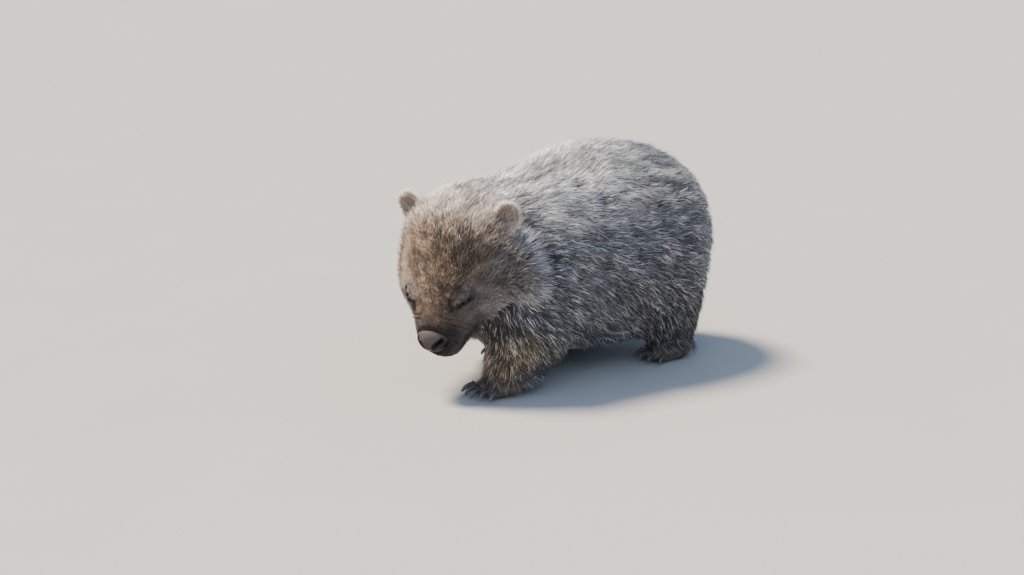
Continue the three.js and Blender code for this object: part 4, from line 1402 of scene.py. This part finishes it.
    def folds(self, shape: Shape) -> np.ndarray:
        """How far the skin stands out or in for the mouth, the lips and the creases of the muzzle.

        Args:
            shape: the skin's vertices.

        Returns:
            The distance outwards for each, in metres.
        """
        across, forward, out = (shape.head_mm - self.mouth_middle_mm).T
        reach = np.hypot(across, forward)
        turn = np.arctan2(across, forward) / self.mouth_turn
        off = out - (-0.12 - 0.16 * turn**2) * reach
        mouth = (1.0 - smooth(np.abs(turn), 0.82, 1.0)) * smooth(reach, 20.0, 34.0) * shape.head
        lips = np.exp(-(((np.abs(off) - 4.6) / 2.4) ** 2))
        folds = mouth * (lips - 2.6 * np.exp(-((off / 1.5) ** 2)))
        across, down_face, out = shape.head_mm.T
        for line, strength in self.creases_mm:
            bend = line - 0.0004 * across**2
            here = smooth(np.abs(across), 13.0, 22.0) * (1.0 - smooth(-out, 40.0, 62.0)) * shape.head
            folds -= strength * here * np.exp(-(((down_face - bend) / 1.6) ** 2))
            folds += 0.6 * strength * here * np.exp(-(((down_face - bend - 3.4) / 1.8) ** 2))
        folds -= self.lid_room_mm * (1.0 - smooth(shape.eye_distance(), 11.0, 15.0))
        return folds * MM

    def dress(self) -> None:
        """Colours the skin and lets it stand for the flesh nodes."""
        set_attribute(self.piece.data, "markings", self.markings.at(self.shape()))
        finish_piece(self.piece, SkinFinish().material(), "coat_fur", *FLESH)


@dataclass
class Coat:
    """The hair of the whole skin, as closed tufts that overlap and follow its lie."""

    skin: Skin
    lie: CoatLie
    markings: Markings
    count: int = 176000
    clump_size: float = 10.0 * MM
    clump_pull: float = 0.42
    skin_area: float = 0.55
    stray_share: float = 0.07
    stray_heights: tuple[float, float] = (1.05, 1.35)
    heights: tuple[float, float] = (0.45, 1.12)
    lengths: tuple[float, float] = (0.7, 1.15)
    widths: tuple[float, float] = (0.65, 1.25)
    tone_middle: float = 0.98
    tone_spread: float = 0.25

    def build(self, finish: bpy.types.Material) -> None:
        """Scatters the roots and grows one piece for each region.

        Args:
            finish: the coat's material.
        """
        chance = np.random.default_rng(SEED)
        mesh = self.skin.piece.data
        shape = self.skin.shape()
        weight = self.lie.density(shape) / (self.lie.length(shape) * self.lie.width(shape))
        places = Scatter.over(mesh, self.count, chance, weight)
        unwrap = np.empty(len(mesh.loops) * 2)
        mesh.uv_layers["OFBake"].data.foreach_get("uv", unwrap)
        unwrap = places.blend_loops(unwrap.reshape(-1, 2))
        normals = unit(places.blend(shape.normals))
        masks = places.blend(self.skin.masks)
        roots = Shape(places.blend(shape.points), normals, *masks.T, self.skin.marks)
        lean = self.lean_of_clumps(roots.points, chance)
        region = self.lie.region(roots)
        for number, name in enumerate(Region):
            chosen = region == number
            if chosen.sum() > 20:
                slot = "foot_fur" if name is Region.FEET else "coat_fur"
                slot = "face_fur" if name in FACE_SLOTS else slot
                tufts = self.tufts(roots.only(chosen), unwrap[chosen], lean[chosen], name, chance)
                tufts.grow(name.value, slot, finish, chance)

    def lean_of_clumps(self, points: np.ndarray, chance: np.random.Generator) -> np.ndarray:
        """How far each tip leans towards the middle of its clump.

        Args:
            points: the places of the roots.
            chance: the source of random differences.

        Returns:
            One row of x, y and z for each root.
        """
        every = max(4, round(len(points) * self.clump_size**2 / self.skin_area))
        middles = points[chance.permutation(len(points))[::every]]
        tree = KDTree(len(middles))
        for index, middle in enumerate(middles):
            tree.insert(middle, index)
        tree.balance()
        nearest = np.array([tree.find(point)[1] for point in points])
        return (middles[nearest] - points) * self.clump_pull

    def tufts(self, shape: Shape, unwrap: np.ndarray, lean: np.ndarray, region: Region,
              chance: np.random.Generator) -> Tufts:
        """The tufts of one region, each a little different, in ridges and hollows.

        Args:
            shape: the places of their roots.
            unwrap: the places of the roots on the skin's unwrap.
            lean: how far each tip leans.
            region: the region.
            chance: the source of random differences.

        Returns:
            The tufts, ready to grow.
        """
        count = len(shape.points)
        length = self.lie.length(shape)
        # The coat lies in ridges and hollows: tufts in the hollows stand lower and are darkened in tones()
        # as painted shade.
        ridge = value_noise(shape.points * (1.2, 0.5, 1.1), 0.011, 33)
        ridge = smooth(0.7 * ridge + 0.3 * value_noise(shape.points, 0.03, 34), 0.2, 0.8)
        stray = chance.random(count) < self.stray_share * (1.0 + shape.head)
        common = self.lie.height(shape)
        height = common * (0.72 + 0.34 * ridge) * chance.uniform(*self.heights, count)
        height = np.where(stray, common * chance.uniform(*self.stray_heights, count), height)
        swirl = value_noise(shape.points, 0.05, 31) + 0.7 * value_noise(shape.points, 0.02, 32) - 0.85
        angle = swirl * (0.75 - 0.3 * shape.muzzle())
        way = self.lie.way(shape)
        aside = np.cross(shape.normals, way)
        # The random draws below stay in this order: length, width, colour and tone.
        return Tufts(
            shape=shape,
            unwrap=unwrap,
            way=way * np.cos(angle)[:, None] + aside * np.sin(angle)[:, None],
            length=length * chance.uniform(*self.lengths, count),
            height=height,
            width=self.lie.width(shape) * chance.uniform(*self.widths, count) * np.where(stray, 0.55, 1.0),
            colour=self.markings.on_tufts(shape, chance),
            tone=self.tones(ridge, chance),
            lean=lean * np.minimum(length / (30.0 * MM), 1.0)[:, None],
            bent=region not in SHORT_HAIRED,
            sunk=np.minimum(length * 0.08, 1.2 * MM),
        )

    def tones(self, ridge: np.ndarray, chance: np.random.Generator) -> np.ndarray:
        """How light each tuft is, at random, and darker in the hollows than on the ridges as painted shade.
        """
        tone = chance.normal(self.tone_middle, self.tone_spread, len(ridge)) * (0.6 + 0.7 * ridge)
        return tone.clip(0.25, 1.9)


@dataclass
class Nose:
    """The bare nose: a broad pad with a nostril on each side and a groove between them."""

    marks: Landmarks
    nostril_depth: float = 7.0 * MM
    nostril_width: float = 2.9 * MM
    nostril_rim: float = 6.4 * MM
    nostril_line_mm: tuple[tuple[float, float, float], ...] = (
        (9.5, 226.5, -23.0), (13.0, 223.5, -18.0), (18.0, 218.5, -16.0), (23.5, 211.5, -18.5))

    def build(self) -> None:
        """Shapes the pad from a sphere and presses the nostrils and the groove in."""
        deselect_all()
        bpy.ops.mesh.primitive_uv_sphere_add(segments=112, ring_count=80, radius=1.0)
        piece = bpy.context.object
        piece.name = piece.data.name = "nose_pad"
        local = points_of(piece.data) * NOSE_RADII_MM
        across, back, out = local.T
        forward = -back
        local[:, 0] = across * (1.0 - 0.14 * smooth(-out, 0.0, 22.0))
        local[:, 2] = np.where(out > 0.0, out * (0.93 - 0.1 * smooth(np.abs(across), 4.0, 24.0)), out)
        on_head = local + NOSE_MIDDLE_MM * (1.0, -1.0, 1.0)
        pad = self.marks.crown + on_head @ self.marks.turn.T * MM
        outward = unit(local / NOSE_RADII_MM**2) @ self.marks.turn.T
        groove = np.exp(-((across / 1.2) ** 2)) * smooth(forward, 6.0, 18.0) * smooth(-out, -8.0, 2.0)
        wrinkle = 1.1 * MM * (value_noise(local * (0.45, 1.6, 1.0), 5.5, 51) - 0.5)
        wrinkle *= 1.0 - smooth(forward, 4.0, 15.0)
        push = wrinkle - 1.4 * MM * groove - (0.9 + 2.2 * smooth(-forward, -4.0, 12.0)) * MM
        hollow = np.zeros(len(local))
        for side in (-1.0, 1.0):
            line = [self.marks.head_place(side * x, y, z) for x, y, z in self.nostril_line_mm]
            away = self.distance_to_line(pad, line)
            push -= self.nostril_depth * np.exp(-((away / self.nostril_width) ** 2))
            push += 0.6 * MM * np.exp(-(((away - self.nostril_rim) / (2.2 * MM)) ** 2))
            hollow = np.maximum(hollow, np.exp(-((away / (self.nostril_width * 1.5)) ** 2)))
        move_points(piece.data, pad + outward * push[:, None])
        piece.data.shade_smooth()
        # Painted light and shade: paler up the pad, darker down it and darkest in the nostrils, which the
        # same value also makes damp.
        height = smooth(out - 0.55 * forward, -6.0, 18.0)
        set_attribute(piece.data, "shade", height * (1.0 - hollow) - 0.5 * hollow)
        finish_piece(piece, NoseFinish().material(), "nose_leather", "nose")

    @staticmethod
    def distance_to_line(points: np.ndarray, line: list[np.ndarray]) -> np.ndarray:
        """The distance from each point to a line of short stretches.

        Args:
            points: rows of x, y and z.
            line: the line's places in order.

        Returns:
            The distance for each point.
        """
        best = np.full(len(points), 1.0)
        for start, end in zip(line[:-1], line[1:]):
            way = end - start
            part = np.clip((points - start) @ way / (way @ way), 0.0, 1.0)
            best = np.minimum(best, np.linalg.norm(points - start - part[:, None] * way, axis=1))
        return best


@dataclass
class Eye:
    """One eye, deep between heavy, furred lids that leave a narrow slit."""

    marks: Landmarks
    markings: Markings
    skin: Skin
    name: str
    side: float
    half_slit_mm: float = 13.5
    half_opening_mm: float = 1.2
    half_length_mm: float = 24.0
    half_width_mm: float = 19.0
    look: tuple[float, float, float] = (0.82, 0.04, 0.57)
    slit: tuple[float, float, float] = (0.73, -0.66, -0.2)
    lid_mm: float = 1.3
    rings: int = 16
    spokes: int = 72
    tuft_count: int = 4200

    def build(self, lid_finish: bpy.types.Material, coat_finish: bpy.types.Material) -> None:
        """Makes the eyeball, the lids round it and their hair.

        Args:
            lid_finish: the material of the lids.
            coat_finish: the coat's material.
        """
        low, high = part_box(self.name)
        centre = (low + high) / 2
        radius = (high - low).length / (2 * math.sqrt(3))
        mirror = np.array([self.side, 1.0, 1.0])
        outward = Vector(self.marks.head_way(mirror * self.look)).normalized()
        along = Vector(self.marks.head_way(mirror * self.slit))
        across = (outward.cross(along) * self.side).normalized()
        along = (along - outward * along.dot(outward)).normalized()
        axes = np.array([along, across, outward])
        self.make_ball(centre, radius, outward)
        lids = self.make_lids(np.array(centre), radius, axes)
        self.grow_hair(lids, np.array(centre), axes, coat_finish)
        finish_piece(lids, lid_finish, "face_fur")

    def make_ball(self, centre: Vector, radius: float, outward: Vector) -> None:
        """The eyeball, with its pupil marked.

        Args:
            centre: its middle.
            radius: its radius.
            outward: the way it looks.
        """
        deselect_all()
        bpy.ops.mesh.primitive_uv_sphere_add(segments=48, ring_count=32, radius=radius, location=centre)
        bpy.ops.object.transform_apply(location=True)
        ball = bpy.context.object
        ball.name = ball.data.name = f"ball_{self.name}"
        ball.data.shade_smooth()
        facing = unit(points_of(ball.data) - np.array(centre)) @ np.array(outward)
        set_attribute(ball.data, "pupil", smooth(facing, 0.82, 0.9))
        finish_piece(ball, EyeFinish().material(), "eye", self.name)

    def make_lids(self, centre: np.ndarray, radius: float, axes: np.ndarray) -> bpy.types.Object:
        """The lids, as a closed blanket from the slit's edge out to the skin.

        Args:
            centre: the middle of the eyeball.
            radius: the eyeball's radius.
            axes: rows along the slit, across it towards the brow, and out of the eye.

        Returns:
            The lids, without a material yet.
        """
        skin = self.skin.piece.data
        faces = [list(face.vertices) for face in skin.polygons]
        tree = BVHTree.FromPolygons([vert.co for vert in skin.vertices], faces)
        angle = np.linspace(0.0, 2 * math.pi, self.spokes, endpoint=False)
        cos, sin = np.cos(angle), np.sin(angle)
        opening = self.half_opening_mm * sin * np.sqrt(np.abs(sin)) - 1.3 * cos**2
        inner = np.stack([self.half_slit_mm * cos, opening], axis=1)
        outer = np.stack([self.half_length_mm * cos, self.half_width_mm * sin], axis=1)
        outer_height = np.array([self.skin_height(tree, centre, axes, place) for place in outer]) - 0.5
        lid_radius = radius / MM + self.lid_mm
        rim = np.minimum(np.hypot(*inner.T), 0.86 * lid_radius)
        inner_height = np.sqrt(lid_radius**2 - rim**2)
        upper, lower = np.maximum(sin, 0.0), np.maximum(-sin, 0.0)
        # Each lid bulges over the ball and has a crease: where, how wide and how high, in millimetres.
        bulges = ((upper, 0.46, 0.17, 1.7), (upper, 0.24, 0.07, -0.9),
                  (lower, 0.3, 0.14, 0.7), (lower, 0.5, 0.08, -0.5))
        rows = []
        for part in np.linspace(1.0, 0.0, self.rings):
            place = inner + (outer - inner) * part
            height = inner_height + (outer_height - inner_height) * smooth(np.array(part), 0.0, 1.0)
            for lid, middle, width, rise in bulges:
                height += lid * rise * math.exp(-(((part - middle) / width) ** 2))
            rows.append(np.column_stack([place, height]))
        for part, deep in ((-0.02, 0.7), (0.0, 1.6), (0.3, 3.4), (0.7, 4.0)):
            place = inner + (outer - inner) * part
            height = inner_height + (outer_height - inner_height) * max(part, 0.0) - deep
            rows.append(np.column_stack([place, height]))
        points = centre + np.array(rows) @ axes * MM
        lids = grid_piece(f"lids_{self.name}", points, ring=True)
        colour = self.markings.at(self.shape(lids.data)) * 0.8
        local = (points_of(lids.data) - centre) @ axes.T / MM
        set_attribute(lids.data, "markings", self.lined(colour, local))
        return lids

    def lined(self, colour: np.ndarray, local: np.ndarray) -> np.ndarray:
        """The colour with the dark, bare edge of the lids along the slit, spread wider and past its corners
        as painted shade of the slit.

        Args:
            colour: rows of colours.
            local: rows along the slit, across it and outwards, in mm.

        Returns:
            The rows of colours.
        """
        # The lids' dark edge, spread wider as painted shade in and beyond the slit.
        slit = np.hypot(local[:, 0] / (self.half_slit_mm + 4.0),
                        local[:, 1] / (self.half_opening_mm + 1.6))
        return mix(colour, rgb(self.markings.eye_line_and_slit_shade), 1.0 - smooth(slit, 0.7, 1.4))

    @staticmethod
    def skin_height(tree: BVHTree, centre: np.ndarray, axes: np.ndarray, place: np.ndarray) -> float:
        """How high over the middle of the eyeball the skin is at a place round it, in millimetres.

        Args:
            tree: the skin.
            centre: the middle of the eyeball.
            axes: rows along the slit, across it and outwards.
            place: how far along and across, in millimetres.

        Returns:
            The height.
        """
        start = centre + (place[0] * axes[0] + place[1] * axes[1] + 30.0 * axes[2]) * MM
        hit = tree.ray_cast(Vector(start), Vector(-axes[2]))[0]
        return float((np.array(hit) - centre) @ axes[2] / MM) if hit else 0.0

    def shape(self, mesh: bpy.types.Mesh) -> Shape:
        """The lids' vertices as places on the head."""
        return Shape.all_head(points_of(mesh), normals_of(mesh), self.marks)

    def grow_hair(self, lids: bpy.types.Object, centre: np.ndarray, axes: np.ndarray,
                  finish: bpy.types.Material) -> None:
        """Short hair on the outside of the lids, longer away from the slit.

        Args:
            lids: the lids.
            centre: the middle of the eyeball.
            axes: rows along the slit, across it and outwards.
            finish: the coat's material.
        """
        chance = np.random.default_rng(SEED + 1 + int(self.side))
        points, normals = points_of(lids.data), normals_of(lids.data)
        facing = smooth(normals @ axes[2], 0.1, 0.4)
        local = (points - centre) @ axes.T / MM
        slit = np.hypot(local[:, 0] / self.half_slit_mm, local[:, 1] / (self.half_opening_mm + 1.4))
        weight = facing * smooth(slit, 0.8, 1.15)
        places = Scatter.over(lids.data, self.tuft_count, chance, weight)
        shape = Shape.all_head(places.blend(points), unit(places.blend(normals)), self.marks)
        local = (shape.points - centre) @ axes.T / MM
        reach = np.hypot(local[:, 0] / self.half_length_mm, local[:, 1] / self.half_width_mm)
        far = smooth(reach, 0.15, 1.0)
        way = axes[0] * 0.9 + axes[1] * np.sign(local[:, 1:2]) * 0.35
        length = (2.4 + 6.0 * far) * MM * chance.uniform(0.7, 1.15, self.tuft_count)
        unwrap = 0.5 + local[:, :2] / (2.1 * self.half_length_mm)
        colour = self.lined(self.markings.on_tufts(shape, chance), local)
        tone = chance.normal(0.95, 0.2, self.tuft_count).clip(0.4, 1.6)
        tufts = Tufts(shape, unwrap, way, length, length * 0.3, 0.34 * MM * np.sqrt(length / MM), colour,
                      tone, np.zeros((self.tuft_count, 3)), bent=False, sunk=0.4 * MM)
        tufts.grow(f"coat_{self.name}", "face_fur", finish, chance)


@dataclass
class Ear:
    """One small, rounded, cupped ear, with a pale furred rim and a dark cup."""

    marks: Landmarks
    name: str
    side: float
    spacing_mm: float = 164.0
    width_mm: float = 38.0
    height_mm: float = 48.0
    sunk_mm: float = 15.0
    foot_mm: tuple[float, float] = (14.0, -28.0)
    lie: tuple[float, float, float] = (0.5, -0.82, 0.24)
    look: tuple[float, float, float] = (0.2, 0.36, 0.9)
    cup_mm: float = 11.0
    wall_mm: float = 2.6
    half_turn: float = 1.32
    rim_hair: str = "#f2e8da"
    back_hair: str = "#bfae98"
    cup_hair: str = "#c2af99"
    cup_skin: str = "#7b685b"
    tuft_count: int = 5200
    tuft_widening: float = 1.35

    def build(self, finish: bpy.types.Material, coat_finish: bpy.types.Material) -> None:
        """Makes the shell of the ear and its hair.

        Args:
            finish: the material of the shell.
            coat_finish: the coat's material.
        """
        chance = np.random.default_rng(SEED + 11 + int(self.side))
        up, opening, across = self.axes()
        foot = self.marks.head_place(self.side * self.spacing_mm / 2, *self.foot_mm)
        rows, spots = [], []
        angles = np.linspace(-self.half_turn, self.half_turn, 22)
        for part in np.linspace(0.0, 1.0, 18):
            half = self.width_mm / 2 * self.profile(part)
            dip = self.cup_mm * (1.0 - 0.55 * part)
            wall = self.wall_mm * (1.0 - 0.35 * part)
            base = foot + up * (part * self.height_mm - self.sunk_mm) * MM
            base = base + opening * 5.0 * MM * smooth(np.array(part), 0.55, 1.0)
            outer = self.arc(base, across, opening, angles, half, dip)
            inner = self.arc(base, across, opening, angles[::-1], max(half - wall, 0.4),
                             max(dip - wall, 0.4))
            rows.append(np.concatenate([outer, inner]))
            turns = np.concatenate([angles, angles[::-1]]) / self.half_turn
            inside = np.repeat([0.0, 1.0], len(angles))
            spots.append(np.column_stack([turns, np.full(len(turns), part), inside]))
        piece = grid_piece(f"shell_{self.name}", np.array(rows))
        spots = np.concatenate(spots)
        set_attribute(piece.data, "markings", self.colour(spots) * 0.9)
        self.grow_hair(piece, spots, (up, opening, across), coat_finish, chance)
        finish_piece(piece, finish, "ear_fur", self.name)

    def axes(self) -> tuple[np.ndarray, np.ndarray, np.ndarray]:
        """The ways up the ear, out of its cup and across it.

        Returns:
            The three ways, each of length one.
        """
        up, opening = self.marks.head_way(np.array([self.lie, self.look]) * (self.side, 1.0, 1.0))
        across = unit(np.cross(up, opening))
        return unit(up), unit(np.cross(across, up)), across

    @staticmethod
    def profile(part: float) -> float:
        """The ear's width up its height, as a share of the whole width.

        Args:
            part: how far up the ear, from 0 to 1.

        Returns:
            The share.
        """
        if part < 0.42:
            return 0.78 + 0.22 * math.sin(part / 0.42 * math.pi / 2)
        return max(1.0 - ((part - 0.42) / 0.6) ** 2.3, 0.02) ** 0.5

    @staticmethod
    def arc(base: np.ndarray, across: np.ndarray, opening: np.ndarray, angles: np.ndarray, half: float,
            dip: float) -> np.ndarray:
        """Points round the cup at one height."""
        aside, deep = np.outer(np.sin(angles) * half, across), np.outer(np.cos(angles) * dip, opening)
        return base + (aside - deep) * MM

    @staticmethod
    def rim(turn: np.ndarray, part: np.ndarray) -> np.ndarray:
        """How near to the rim each place is, from 0 to 1."""
        return np.maximum(smooth(np.abs(turn), 0.6, 0.95), smooth(part, 0.7, 0.95))

    def colour(self, spots: np.ndarray) -> np.ndarray:
        """The colours at places given by turn, height and whether they are inside the cup.

        Args:
            spots: a row of turn, height and inside for each place.

        Returns:
            The rows of colours.
        """
        turn, part, inside = spots.T
        rim = np.maximum(smooth(np.abs(turn), 0.62, 0.95), smooth(part, 0.72, 0.95))
        pale_corner = smooth(turn * self.side, 0.15, 0.7) * (1.0 - smooth(part, 0.3, 0.6)) * inside
        colour = mix(rgb(self.back_hair), rgb(self.cup_skin), inside)
        return mix(colour, rgb(self.rim_hair), np.maximum(rim * 0.65, pale_corner * 0.8))

    def grow_hair(self, piece: bpy.types.Object, spots: np.ndarray, axes: tuple[np.ndarray, ...],
                  finish: bpy.types.Material, chance: np.random.Generator) -> None:
        """Dense hair behind the ear and on its rim, and a little pale hair in the cup.

        Args:
            piece: the shell.
            spots: turn, height and inside for each vertex of the shell.
            axes: the ways up the ear, out of its cup and across it.
            finish: the coat's material.
            chance: the source of random differences.
        """
        up, opening, across = axes
        turn, part, inside = spots.T
        rim = self.rim(turn, part)
        weight = 1.0 - inside * 0.3 + 1.2 * rim
        places = Scatter.over(piece.data, self.tuft_count, chance, weight)
        at = places.blend(spots)
        turn, part, inside = at.T
        rim = self.rim(turn, part)
        normals = unit(places.blend(normals_of(piece.data)))
        shape = Shape.all_head(places.blend(points_of(piece.data)), normals, self.marks)
        way = up + across * turn[:, None] * 0.8 + opening * (inside * 0.4)[:, None]
        way = way + chance.normal(0.0, 0.22, (self.tuft_count, 3))
        length = (11.0 - 0.5 * rim) * MM * chance.uniform(0.45, 1.25, self.tuft_count)
        height = length * (0.3 + 0.45 * np.maximum(rim, 0.5 * inside) * chance.random(self.tuft_count))
        colour = self.colour(at)
        pale = smooth(chance.random(self.tuft_count), 0.5, 0.9) * smooth(turn * self.side, -0.4, 0.6)
        inner = mix(rgb(self.cup_hair), rgb(self.rim_hair), pale)
        colour = mix(colour, inner, inside * (1.0 - rim) * 0.8)
        unwrap = np.column_stack([0.25 + 0.22 * turn + 0.5 * (inside > 0.5), 0.03 + 0.94 * part])
        width = 0.33 * MM * np.sqrt(length / MM) * self.tuft_widening
        tone = chance.normal(0.95, 0.18, self.tuft_count).clip(0.4, 1.6)
        tufts = Tufts(shape, unwrap, way, length, height, width, colour, tone,
                      np.zeros((self.tuft_count, 3)), bent=False, sunk=0.3 * MM)
        tufts.grow(f"coat_{self.name}", "ear_fur", finish, chance)


@dataclass
class Claws:
    """The claws: thick, blunt and bent down, wrapped at the root by the toes."""

    half_width_mm: float = 3.3
    half_height_mm: float = 4.0
    bow_mm: float = 2.4
    hind_share: float = 0.88
    places: tuple[float, ...] = (-0.3, -0.1, 0.1, 0.3, 0.5, 0.68, 0.84, 0.94, 1.0)
    girths: tuple[float, ...] = (0.95, 1.0, 1.0, 0.97, 0.9, 0.79, 0.62, 0.42, 0.16)
    sides: int = 20

    def build(self) -> None:
        """Makes a piece for each claw of the solids."""
        finish = HornFinish().material()
        for name in claw_nodes():
            axis = ClawAxis.of_node(name)
            way = axis.tip - axis.base
            aside = unit(np.cross(way, [0.0, 0.0, 1.0]))
            above = unit(np.cross(aside, way))
            angles = np.linspace(0.0, 2 * math.pi, self.sides, endpoint=False)
            size = 1.0 if name.startswith("fore") else self.hind_share
            rows = []
            for part, girth in zip(self.places, self.girths):
                bow = above * self.bow_mm * MM * math.sin(math.pi * max(part, 0.0))
                wide = self.half_width_mm * girth * size * MM
                high = self.half_height_mm * girth * size * MM
                row = axis.base + way * part + bow
                row = row + np.outer(np.cos(angles) * wide, aside) + np.outer(np.sin(angles) * high, above)
                row[:, 2] = np.maximum(row[:, 2], 0.3 * MM)
                rows.append(row)
            piece = grid_piece(name.replace("_claw_", "_horn_"), np.array(rows))
            along = np.repeat(np.clip(self.places, 0.0, 1.0), self.sides)
            set_attribute(piece.data, "along", along)
            finish_piece(piece, finish, "claw", name)


@dataclass
class Studio:
    """A plain pale floor, soft lights and the camera at the photograph's angle."""

    marks: Landmarks
    azimuth: float = math.radians(51.0)
    elevation: float = math.radians(14.5)
    distance: float = 3.6
    lens_mm: float = 75.94
    sensor_mm: float = 36.0
    palm_pixel: tuple[float, float] = (484.0, 398.0)
    palm_mm: tuple[float, float, float] = (85.0, 178.0, 0.0)
    middle_mm: tuple[float, float, float] = (0.0, -60.0, 210.0)
    sun_from: tuple[float, float, float] = (-0.52, -0.22, 0.95)
    sun_strength: float = 7.4
    sun_width: float = math.radians(16.0)
    sun_colour: str = "#ffefd8"
    fill_from: tuple[float, float, float] = (2.2, -1.4, 1.3)
    fill_aim: tuple[float, float, float] = (0.0, 0.0, 0.15)
    fill_size: float = 2.6
    fill_power: float = 16.0
    fill_colour: str = "#dfe9f7"
    sky_strength: float = 0.72
    sky_colour: str = "#b9d3f8"
    floor_size: float = 24.0

    def build(self) -> None:
        """Makes the floor, the lights, the world and the camera."""
        self.make_floor()
        self.make_camera()
        self.make_sun()
        self.make_fill()
        world = bpy.data.worlds.new("studio")
        bpy.context.scene.world = world
        world.use_nodes = True
        set_inputs(world.node_tree.nodes["Background"], Color=linear(self.sky_colour),
                   Strength=self.sky_strength)

    def make_sun(self) -> None:
        """The main light, soft and warm, from high on the animal's right and behind the camera's left."""
        data = bpy.data.lights.new("key", "SUN")
        data.energy = self.sun_strength
        data.angle = self.sun_width
        data.color = linear(self.sun_colour)[:3]
        light = new_object("key", data)
        light.rotation_euler = Vector(self.sun_from).to_track_quat("Z", "Y").to_euler()

    def make_floor(self) -> None:
        """A wide, flat, matt floor."""
        deselect_all()
        bpy.ops.mesh.primitive_plane_add(size=self.floor_size)
        floor = bpy.context.object
        floor.name = floor.data.name = "floor"
        floor.data.materials.append(FloorFinish().material())

    def make_camera(self) -> None:
        """Sets the camera so that the left palm falls on its pixel of the photograph."""
        a, e = self.azimuth, self.elevation
        back = np.array([math.sin(a) * math.cos(e), -math.cos(a) * math.cos(e), math.sin(e)])
        right = unit(np.cross([0.0, 0.0, 1.0], back))
        above = np.cross(back, right)
        focal = self.lens_mm / self.sensor_mm * IMAGE_WIDTH
        x, y = self.palm_pixel
        ray = right * (x - IMAGE_WIDTH / 2) / focal - above * (y - IMAGE_HEIGHT / 2) / focal - back
        palm = self.marks.body_place(*self.palm_mm)
        reach = self.distance + back @ (self.marks.body_place(*self.middle_mm) - palm)
        data = bpy.data.cameras.new("camera")
        data.lens = self.lens_mm
        data.sensor_width = self.sensor_mm
        data.clip_start, data.clip_end = 0.05, 60.0
        camera = new_object("camera", data)
        camera.location = palm - ray * reach
        camera.rotation_euler = Matrix((right, above, back)).transposed().to_euler()
        bpy.context.scene.camera = camera

    def make_fill(self) -> None:
        """A soft square light in front of the animal, which faces its middle."""
        data = bpy.data.lights.new("fill", "AREA")
        data.size = self.fill_size
        data.energy = self.fill_power
        data.color = linear(self.fill_colour)[:3]
        light = new_object("fill", data)
        light.location = self.fill_from
        way = Vector(self.fill_from) - Vector(self.fill_aim)
        light.rotation_euler = way.to_track_quat("Z", "Y").to_euler()


def main() -> None:
    """Builds the animal and the studio."""
    logging.basicConfig(level=logging.INFO, format="%(name)s: %(message)s")
    marks = Landmarks.from_frame()
    lie = CoatLie()
    markings = Markings()
    Studio(marks).build()
    skin = Skin(marks, lie, markings)
    skin.build()
    skin.dress()
    coat_finish = CoatFinish().material()
    Coat(skin, lie, markings).build(coat_finish)
    lid_finish = SkinFinish(name="lid_skin", share=0.8, hair_mm=0.8).material()
    for name, side in (("eye_left", 1.0), ("eye_right", -1.0)):
        Eye(marks, markings, skin, name, side).build(lid_finish, coat_finish)
    ear_finish = SkinFinish(name="ear_hide", share=0.7, hair_mm=0.9).material()
    for name, side in (("ear_left", 1.0), ("ear_right", -1.0)):
        Ear(marks, name, side).build(ear_finish, coat_finish)
    Nose(marks).build()
    Claws().build()
    bpy.context.view_layer.update()


if __name__ == "__main__":
    main()
